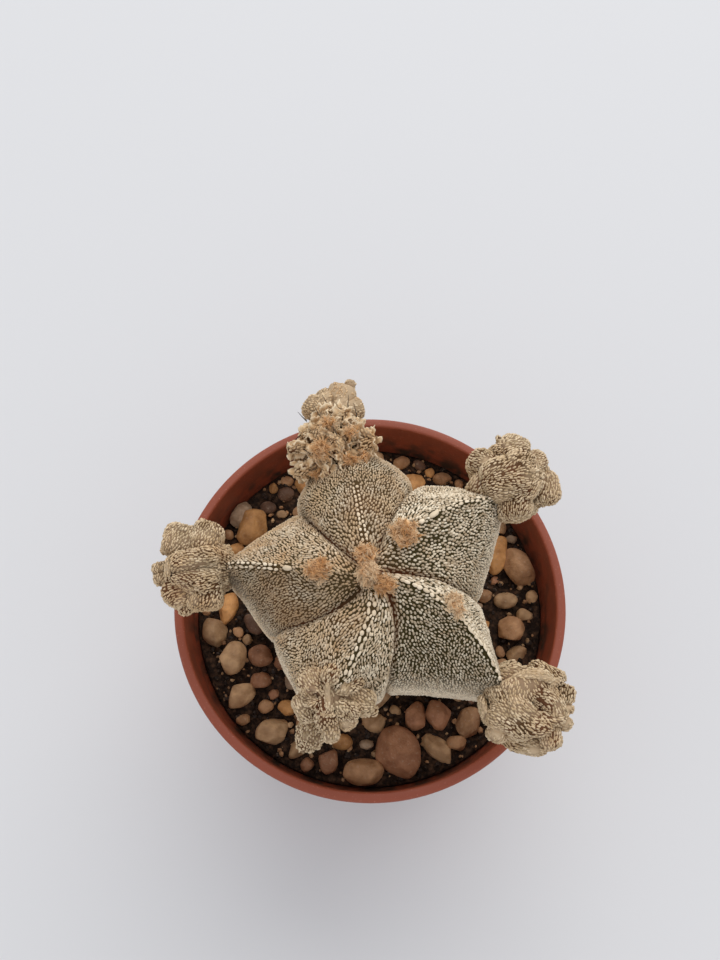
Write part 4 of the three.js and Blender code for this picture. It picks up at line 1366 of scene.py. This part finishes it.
def offset_flecks(name, places, tree, seed, finish, rng):
    """Makes the flecks of an offset, closely set, long and winding, and the dry flaps of the top one, with
    painted shade that makes the flaps darker and browner towards their feet.
    """
    gap, stretch, stain, _ = OFFSET_LOOK[name]
    need = gap * (1 + 0.2 * noise(places[POINT], 1.4, seed + 3))
    kept, flow = scatter(places, need, stretch, OFFSET_SWIRL, seed + 4)
    smooth = smoothness(name, places[POINT][kept], seed)
    shown = (places[CREASE][kept] > 0.05) & off_grooves(name, places[POINT][kept], tree)
    shown &= rng.random(len(kept)) > 1.6 * (smooth - 0.4)
    kept, flow, smooth = kept[shown], flow[shown], smooth[shown]
    seats = settled(tree, places[POINT][kept], places[NORMAL][kept], flow)
    count = len(kept)
    length = need[kept] * stretch * (1.15 + 0.6 * rng.random(count))
    width = need[kept] * (1.15 + 0.4 * rng.random(count))
    height = (0.08 + 0.14 * rng.random(count)) * (1 - 0.6 * smooth)
    parts = [strokes(seats, length, width, height, rng, OFFSET_BEND)]
    each = len(parts[0][0]) // count
    tones = [np.repeat(rng.random(count), each)]
    flap_foot_shade = [np.zeros(each * count)]
    if name == "offset_top":
        *flaps, rise = ruffles(places, tree, rng, seed)
        parts.append(flaps)
        # Painted shade on the flaps: a deeper tone and more brown towards their feet, pale at their edges
        tones.append(0.35 + 0.65 * rise)
        flap_foot_shade.append(1.2 - 1.7 * rise)
    points, faces = merged(parts)
    brown = stain * (0.7 + 0.9 * noise(points, 2.4, seed + 9)) + near_spots(points, OFFSET_STAINS)
    brown = np.clip(brown + np.concatenate(flap_foot_shade), 0, 1)
    values = {"tone": np.concatenate(tones), "brown": brown, "grey": np.zeros(len(points))}
    make_piece(f"{name}_flecks", points, faces, finish, (), values)


def make_offset(name, seed, skin_finish, fleck_finish):
    """An offset's skin with its lobes and ridges, and its flecks."""
    foot, grow, length, notch, ribs = OFFSETS[name]
    gap, _, _, scale = OFFSET_LOOK[name]
    rng = np.random.default_rng(seed)
    turn, place = growing(foot, grow)
    reach = ribs[0][1]
    lumps = [(0.1 * reach, 0.55 * reach), (0.15, 1.1)]
    folds = [(0.1 * reach, 0.4 * reach), (0.3, 1.1)]
    crease = (0.08 * reach, 0.05 * reach)
    skin = Skin(offset_head(length, notch, ribs), turn, place, lumps, folds, crease, seed * 7, scale)
    shells = offset_shells(name, skin, seed, rng)
    tree = offset_skin(name, shells, seed, skin_finish)
    places = offset_places(name, skin, shells, gap, rng, seed)
    offset_flecks(name, places, tree, seed, fleck_finish, rng)


# Wool and bristles

def fibres(starts, directions, length, thickness, bend, rng, steps):
    """Thin tapering threads with three sides that bend, each its own way."""
    place = starts.copy()
    heading = unit(directions)
    rings = []
    for step in range(steps + 1):
        side = unit(np.cross(heading, np.array([0.31, 0.87, 0.38])))
        up = np.cross(heading, side)
        radius = thickness / 2 * (1 - 0.75 * step / steps)
        for corner in range(3):
            angle = corner * 2 * np.pi / 3
            rings.append(place + radius[:, None] * (side * np.cos(angle) + up * np.sin(angle)))
        place = place + heading * (length / steps)[:, None]
        heading = unit(heading + bend / steps + 0.25 * rng.normal(size=starts.shape) / steps)
    end = steps * 3
    pattern = np.r_[grid_faces(steps + 1, 3), [[0, 1, 2]], [[end, end + 2, end + 1]]]
    return repeated(np.stack(rings, axis=1), pattern)


def wool_cushion(place, spread, brown, seed):
    """The crumpled heart of a tuft, with how brown and how deep in shade each point is."""
    points, faces = ball(4)
    folds = noise(points, 0.2, seed + 1)
    crumple = 0.85 + 0.25 * noise(points, 0.5, seed) + 0.16 * folds
    core = points * crumple[:, None] * spread * [0.8, 0.8, 0.7] + place
    browns = np.clip(brown + 0.5 * noise(core, 0.4, seed + 2), 0, 1)
    # The last values are painted shade, darkest in the cushion's folds
    return core, faces, browns, np.clip(0.3 - 1.6 * folds, 0, 1)


def wool_locks(place, spread, count, brown, combed, rng):
    """Curling locks of fibre over a tuft, browner in its middle, with how brown and how shaded each is."""
    locks = count // LOCK_THREADS
    out = unit(rng.normal(size=(locks, 3)) + [0, 0, 0.5])
    lie = unit(np.cross(out, rng.normal(size=(locks, 3))) + combed)
    root = np.array(place) + out * spread * (0.5 + 0.35 * rng.random((locks, 1)))
    bend = 1.8 * rng.normal(size=(locks, 3)) - 0.9 * out
    own = brown * (1.35 - 0.75 * np.linalg.norm(out[:, :2], axis=1)) + 0.35 * rng.normal(size=locks)
    lock = np.repeat(np.arange(locks), LOCK_THREADS)
    threads = len(lock)
    starts = root[lock] + 0.11 * rng.normal(size=(threads, 3))
    heading = lie[lock] + 0.45 * out[lock] + 0.25 * rng.normal(size=(threads, 3))
    length = LOCK_LENGTH * (0.6 + 0.6 * rng.random(threads))
    thickness = 0.08 + 0.08 * rng.random(threads)
    curl = bend[lock] + 0.5 * rng.normal(size=(threads, 3))
    points, faces = fibres(starts, heading, length, thickness, curl, rng, LOCK_STEPS)
    browns = np.clip(own[lock] + 0.25 * (rng.random(threads) - 0.5), 0, 1)
    # Painted shade, darkest at the root of each fibre
    shade = np.repeat(0.3 * (1 - np.arange(LOCK_STEPS + 1) / LOCK_STEPS) ** 2, 3)
    return points, faces, np.repeat(browns, len(shade)), np.tile(shade, threads)


def make_wool(name, tufts, replaced, finish, seed):
    """Tufts of wool, each a cushion under locks of fibre."""
    rng = np.random.default_rng(seed)
    parts = []
    for place, spread, count, brown, combed in tufts:
        spread = np.array(spread)
        parts.append(wool_cushion(place, spread, brown, seed))
        parts.append(wool_locks(place, spread, count, brown, combed, rng))
    points, faces = merged([part[:2] for part in parts])
    brown, deep = (np.concatenate([part[column] for part in parts]) for column in (2, 3))
    make_piece(name, points, faces, finish, replaced, {"brown": brown, "deep": deep})


def make_bristles(finish):
    rng = np.random.default_rng(BRISTLE_SEED)
    starts = np.array([root for root, _ in BRISTLES], float)
    aims = np.array([tip for _, tip in BRISTLES], float) - starts
    thickness = np.full(len(starts), BRISTLE_THICKNESS)
    bend = 0.25 * unit(rng.normal(size=starts.shape))
    points, faces = fibres(starts, aims, np.linalg.norm(aims, axis=1), thickness, bend, rng, BRISTLE_STEPS)
    make_piece("bristles", points, faces, finish)


# Pot

def wall_radius(z):
    """The wall's outer radius below the collar."""
    return BASE_RADIUS + (COLLAR_RADIUS - COLLAR_STEP - BASE_RADIUS) * z / COLLAR_BOTTOM


def inner_radius(z):
    """The wall's inner radius: it steps out over the ledge inside the collar."""
    below = [wall_radius(0) - WALL, wall_radius(LEDGE_BOTTOM) - WALL]
    above = [COLLAR_RADIUS - WALL, POT_RADIUS - LIP_DROP]
    return np.interp(z, [0, LEDGE_BOTTOM, LEDGE_TOP, POT_HEIGHT], below + above)


def inside_radius(z):
    """How far out the fill reaches."""
    return inner_radius(z) - WALL_SLACK


def arc(x, z, radius, start, end, steps):
    """Points on an arc of a profile round a centre, with the angles in degrees from outward."""
    angles = np.radians(np.linspace(start, end, steps + 1))
    return [(x + radius * math.cos(a), z + radius * math.sin(a)) for a in angles]


def pot_profile():
    """The pot's outline from the middle of its underside, over the lip and down to its floor."""
    collar = COLLAR_BOTTOM
    foot = BASE_RADIUS - FOOT_ROUND
    inner_lip = POT_RADIUS - LIP_DROP + LIP_INNER_ROUND
    return [
        (0, BASE_HOLLOW),
        (BASE_RADIUS - 4, BASE_HOLLOW),
        (BASE_RADIUS - 3.4, 0),
        *arc(foot, FOOT_ROUND, FOOT_ROUND, -90, -10, 5),
        (wall_radius(14), 14),
        (wall_radius(27), 27),
        (wall_radius(collar - 0.4), collar - 0.4),
        *arc(wall_radius(collar) + COLLAR_ROUND, collar - 0.05, COLLAR_ROUND, 180, 90, 3),
        *arc(COLLAR_RADIUS - COLLAR_ROUND, collar + 0.65, COLLAR_ROUND, -90, 0, 3),
        (POT_RADIUS - 0.25, POT_HEIGHT - 1.6),
        *arc(POT_RADIUS - LIP_ROUND, POT_HEIGHT - LIP_ROUND, LIP_ROUND, -10, 90, 6),
        *arc(inner_lip, POT_HEIGHT - LIP_INNER_ROUND, LIP_INNER_ROUND, 90, 180, 5),
        (inner_radius(LEDGE_TOP + 0.4), LEDGE_TOP + 0.4),
        (inner_radius(LEDGE_TOP) - 0.2, LEDGE_TOP - 0.1),
        (inner_radius(LEDGE_BOTTOM) + 0.2, LEDGE_BOTTOM + 0.1),
        (inner_radius(LEDGE_BOTTOM - 0.5), LEDGE_BOTTOM - 0.5),
        (inner_radius(20), 20),
        *arc(foot - WALL, FLOOR_TOP + FOOT_ROUND, FOOT_ROUND, 0, -90, 4),
        (0, FLOOR_TOP),
    ]


def drain_drills():
    """Rods in a ring that cut the drain holes."""
    rod, rod_faces = turned_about_z([(0, -2), (DRAIN_RADIUS, -2), (DRAIN_RADIUS, 4), (0, 4)], DRAIN_SIDES)
    angles = [(i + 0.5) * 2 * math.pi / DRAIN_HOLES for i in range(DRAIN_HOLES)]
    places = [[DRAIN_RING * math.cos(a), DRAIN_RING * math.sin(a), 0] for a in angles]
    points, faces = merged([(rod + place, rod_faces) for place in places])
    mesh = bpy.data.meshes.new("drills")
    mesh.from_pydata((points * MM).tolist(), [], faces.tolist())
    return in_scene("drills", mesh)


def make_pot(finish):
    """The pot's shell, with its ring of drain holes cut through the floor."""
    points, faces = turned_about_z(pot_profile(), POT_SIDES)
    radius = np.linalg.norm(points[:, :2], axis=1)
    inside = radius < inner_radius(points[:, 2]) + WALL * 0.3
    # Earth and painted shade darken the inner wall, darkest by the soil and fading out towards the lip
    earth_and_shade = np.clip((EARTH_AND_SHADE_TOP - points[:, 2]) / 4, 0, 1) * inside
    pot = make_piece("pot_shell", points, faces, finish, ["pot"], {"earth_and_shade": earth_and_shade})
    drills = drain_drills()
    cut = pot.modifiers.new("drain_holes", "BOOLEAN")
    cut.operation = "DIFFERENCE"
    cut.solver = "EXACT"
    cut.object = drills
    whole = bpy.data.meshes.new_from_object(pot.evaluated_get(bpy.context.evaluated_depsgraph_get()))
    pot.modifiers.clear()
    pot.data = whole
    whole.polygons.foreach_set("use_smooth", np.ones(len(whole.polygons), bool))
    whole.set_sharp_from_angle(angle=math.radians(SHARP_ANGLE))
    bpy.data.objects.remove(drills)


# Gravel and soil

def place_in_ring(inner, edge, rng):
    """A random place on the ground between an inner radius and one short of the wall, by radius and angle."""
    radius = inner + (inside_radius(GROUND) - inner - edge) * math.sqrt(rng.random())
    return radius, rng.random() * 2 * math.pi


def fill_stones(rng):
    """Rows like those of PEBBLES for the smaller stones that find room round them."""
    placed = [(x, y, (length + width) / 4) for x, y, length, width, *_ in PEBBLES]
    names = list(TONES)
    shares = [share for _, share in TONES.values()]
    rows = []
    for size, tries in FILL_SIZES:
        for _ in range(tries):
            radius, angle = place_in_ring(FILL_INNER, 1.2, rng)
            x, y = radius * math.cos(angle), radius * math.sin(angle)
            own = size * (0.8 + 0.4 * rng.random())
            crowded = any(math.hypot(x - a, y - b) < (own / 2 + c) * FILL_SPREAD for a, b, c in placed)
            if crowded or radius + own / 2 > inside_radius(GROUND) - 0.1:
                continue
            placed.append((x, y, own / 2))
            tone = names[int(rng.choice(len(names), p=shares))]
            rows.append((x, y, own * 1.15, own * 0.9, rng.random() * 180, tone))
    return rows


def stone(x, y, length, width, turn, rng):
    """A pebble with worn facets, part sunk in its bed."""
    points, faces = ball(4 if length > LARGE_STONE else 3)
    seed = int(rng.integers(1, 9999))
    lumpy = points * (1 + 0.1 * noise(points + seed, 0.9, seed))[:, None]
    for facing, reach in zip(unit(rng.normal(size=(STONE_FACETS, 3))), 0.62 + 0.3 * rng.random(STONE_FACETS)):
        lumpy -= np.outer(0.8 * np.maximum(lumpy @ facing - reach, 0), facing)
    lumpy *= (1 + 0.03 * noise(points + seed, 0.3, seed))[:, None]
    height = min(width, LARGE_STONE) * (0.72 + 0.2 * rng.random())
    sized = lumpy * np.array([length, width, height]) / 2
    tilt = Matrix.Rotation(math.radians(turn), 3, "Z") @ Matrix.Rotation((rng.random() - 0.5) * 0.5, 3, "X")
    sunk = 0.2 + 0.2 * rng.random()
    return sized @ np.array(tilt).T + [x, y, STONE_BED + height * (0.5 - sunk)], faces


def within_wall(points):
    """Points of a stone, drawn in where they would touch the wall."""
    radius = np.linalg.norm(points[:, :2], axis=1)
    room = inside_radius(points[:, 2]) - 0.05
    points[:, :2] *= np.minimum(1, room / np.maximum(radius, 1e-6))[:, None]
    return points


def make_gravel(finish):
    """The pebbles that the picture shows, and smaller ones that fill the ring round the plant."""
    rng = np.random.default_rng(GRAVEL_SEED)
    parts, colours = [], []
    for *sizes, tone in PEBBLES + fill_stones(rng):
        points, faces = stone(*sizes, rng)
        parts.append((within_wall(points), faces))
        shade = 0.8 + 0.4 * rng.random()
        colours.append(np.tile(np.array(TONES[tone][0]) * shade, (len(points), 1)))
    points, faces = merged(parts)
    make_piece("pebbles", points, faces, finish, ["gravel"], None, np.concatenate(colours))


def crumbled(points):
    """Raises and lowers the top of the soil in crumbs."""
    lift = np.zeros(len(points))
    for height, pitch, seed in CRUMBS:
        lift += height * noise(points, pitch, seed)
    points[:, 2] += np.where(points[:, 2] > GROUND - 0.1, lift - 0.3, 0)
    return points


def make_soil(finish):
    """The soil that fills the pot, up to its crumbly top."""
    outer = inside_radius(SOIL_BOTTOM + 1) - 0.05
    rim = inside_radius(GROUND - 0.6) - 0.05
    profile = [
        (0, SOIL_BOTTOM),
        (outer - 1, SOIL_BOTTOM),
        (outer, SOIL_BOTTOM + 1),
        (inside_radius(21), 21),
        (inside_radius(COLLAR_BOTTOM - 0.6), COLLAR_BOTTOM - 0.6),
        (rim - 0.6, GROUND - 1.3),
        (rim, GROUND - 0.6),
        *[(r, GROUND) for r in np.linspace(rim - 0.4, 0.6, SOIL_RINGS)],
        (0, GROUND),
    ]
    points, faces = turned_about_z(profile, SOIL_SIDES, crumbled)
    make_piece("soil_fill", points, faces, finish, ["soil"])


def make_grit(finish):
    """Crumbs of soil and grains of stone between the pebbles."""
    rng = np.random.default_rng(GRIT_SEED)
    ball_points, faces = ball(1)
    parts, colours = [], []
    for _ in range(GRIT_COUNT):
        radius, angle = place_in_ring(GRIT_INNER, 0.6, rng)
        size = 0.35 + 0.75 * rng.random() ** 2
        turn = np.array(Matrix.Rotation(rng.random() * 6, 3, Vector(rng.normal(size=3)).normalized()))
        lump = ball_points * (1 + 0.45 * (rng.random((len(ball_points), 1)) - 0.5))
        place = [radius * math.cos(angle), radius * math.sin(angle), GROUND + 0.1 * rng.random()]
        parts.append(((lump * [1, 0.8, 0.65]) @ turn.T * size / 2 + place, faces))
        bright = rng.random()
        tone = TONES["tan"][0] if bright > 0.88 else TONES["brown"][0] if bright > 0.7 else CRUMB_COLOUR
        colours.append(np.tile(np.array(tone) * (0.7 + 0.5 * rng.random()), (len(lump), 1)))
    points, faces = merged(parts)
    make_piece("grit", points, faces, finish, (), None, np.concatenate(colours), smooth=False)


# Stage

def make_floor():
    made, tree, shader = material("floor_paper", 0.9, 0.1)
    colour_from(tree, shader, blend(tree, speckle(tree, 3, 2), (0.66, 0.66, 0.665), (0.69, 0.69, 0.69)))
    mesh = bpy.data.meshes.new("floor")
    corners = [(x * FLOOR_HALF, y * FLOOR_HALF, 0) for x, y in ((-1, -1), (1, -1), (1, 1), (-1, 1))]
    mesh.from_pydata(corners, [], [(0, 1, 2, 3)])
    mesh.materials.append(made)
    floor = in_scene("floor", mesh)


def make_window():
    """One broad soft light."""
    lamp = bpy.data.lights.new("window", "AREA")
    lamp.shape = "DISK"
    lamp.size = WINDOW_SIZE
    lamp.energy = WINDOW_POWER
    lamp.color = WINDOW_COLOUR
    window = in_scene("window", lamp)
    window.location = WINDOW_PLACE
    window.rotation_euler = (-Vector(WINDOW_PLACE)).to_track_quat("-Z", "Y").to_euler()


def make_sky():
    world = bpy.data.worlds.new("studio")
    world.use_nodes = True
    sky = world.node_tree.nodes["Background"]
    sky.inputs["Color"].default_value = SKY_COLOUR
    sky.inputs["Strength"].default_value = SKY_STRENGTH
    bpy.context.scene.world = world
    bpy.context.scene.view_settings.view_transform = "Standard"


def make_camera():
    lens = bpy.data.cameras.new("camera")
    lens.lens = CAMERA_LENS
    lens.clip_start = CAMERA_NEAR * MM
    camera = in_scene("camera", lens)
    camera.location = Vector(CAMERA_PLACE) * MM
    camera.rotation_euler = (math.radians(CAMERA_TILT), 0, 0)
    bpy.context.scene.camera = camera


def make_plant():
    """The main head, its offsets, the wool and the bristles."""
    skin_finish = skin_material("cactus_skin", DARK_GREEN, UMBER, RUST, (0.53, 0.45, 0.34))
    offset_finish = skin_material("offset_skin", TAN_SKIN, UMBER, RED_BROWN, (0.62, 0.46, 0.29))
    pale_flecks = fleck_material("body_flecks", (0.97, 0.86, 0.67), (0.44, 0.34, 0.22))
    tan_flecks = fleck_material("offset_flecks", (0.82, 0.66, 0.45), (0.46, 0.34, 0.20))
    wool_finish = wool_material()
    make_body(skin_finish, pale_flecks)
    for number, name in enumerate(OFFSETS):
        make_offset(name, OFFSET_SEED + number, offset_finish, tan_flecks)
    for number, (name, tufts) in enumerate(WOOL.items()):
        make_wool(f"{name}_tuft", tufts, [name], wool_finish, WOOL_SEED + number)
    make_wool("offset_top_wool", TOP_OFFSET_WOOL, (), wool_finish, TOP_WOOL_SEED)
    make_bristles(bristle_material())


make_camera()
make_floor()
make_sky()
make_window()
make_plant()
make_pot(pot_material())
pebble_finish = pebble_material()
make_gravel(pebble_finish)
make_soil(soil_material())
make_grit(pebble_finish)
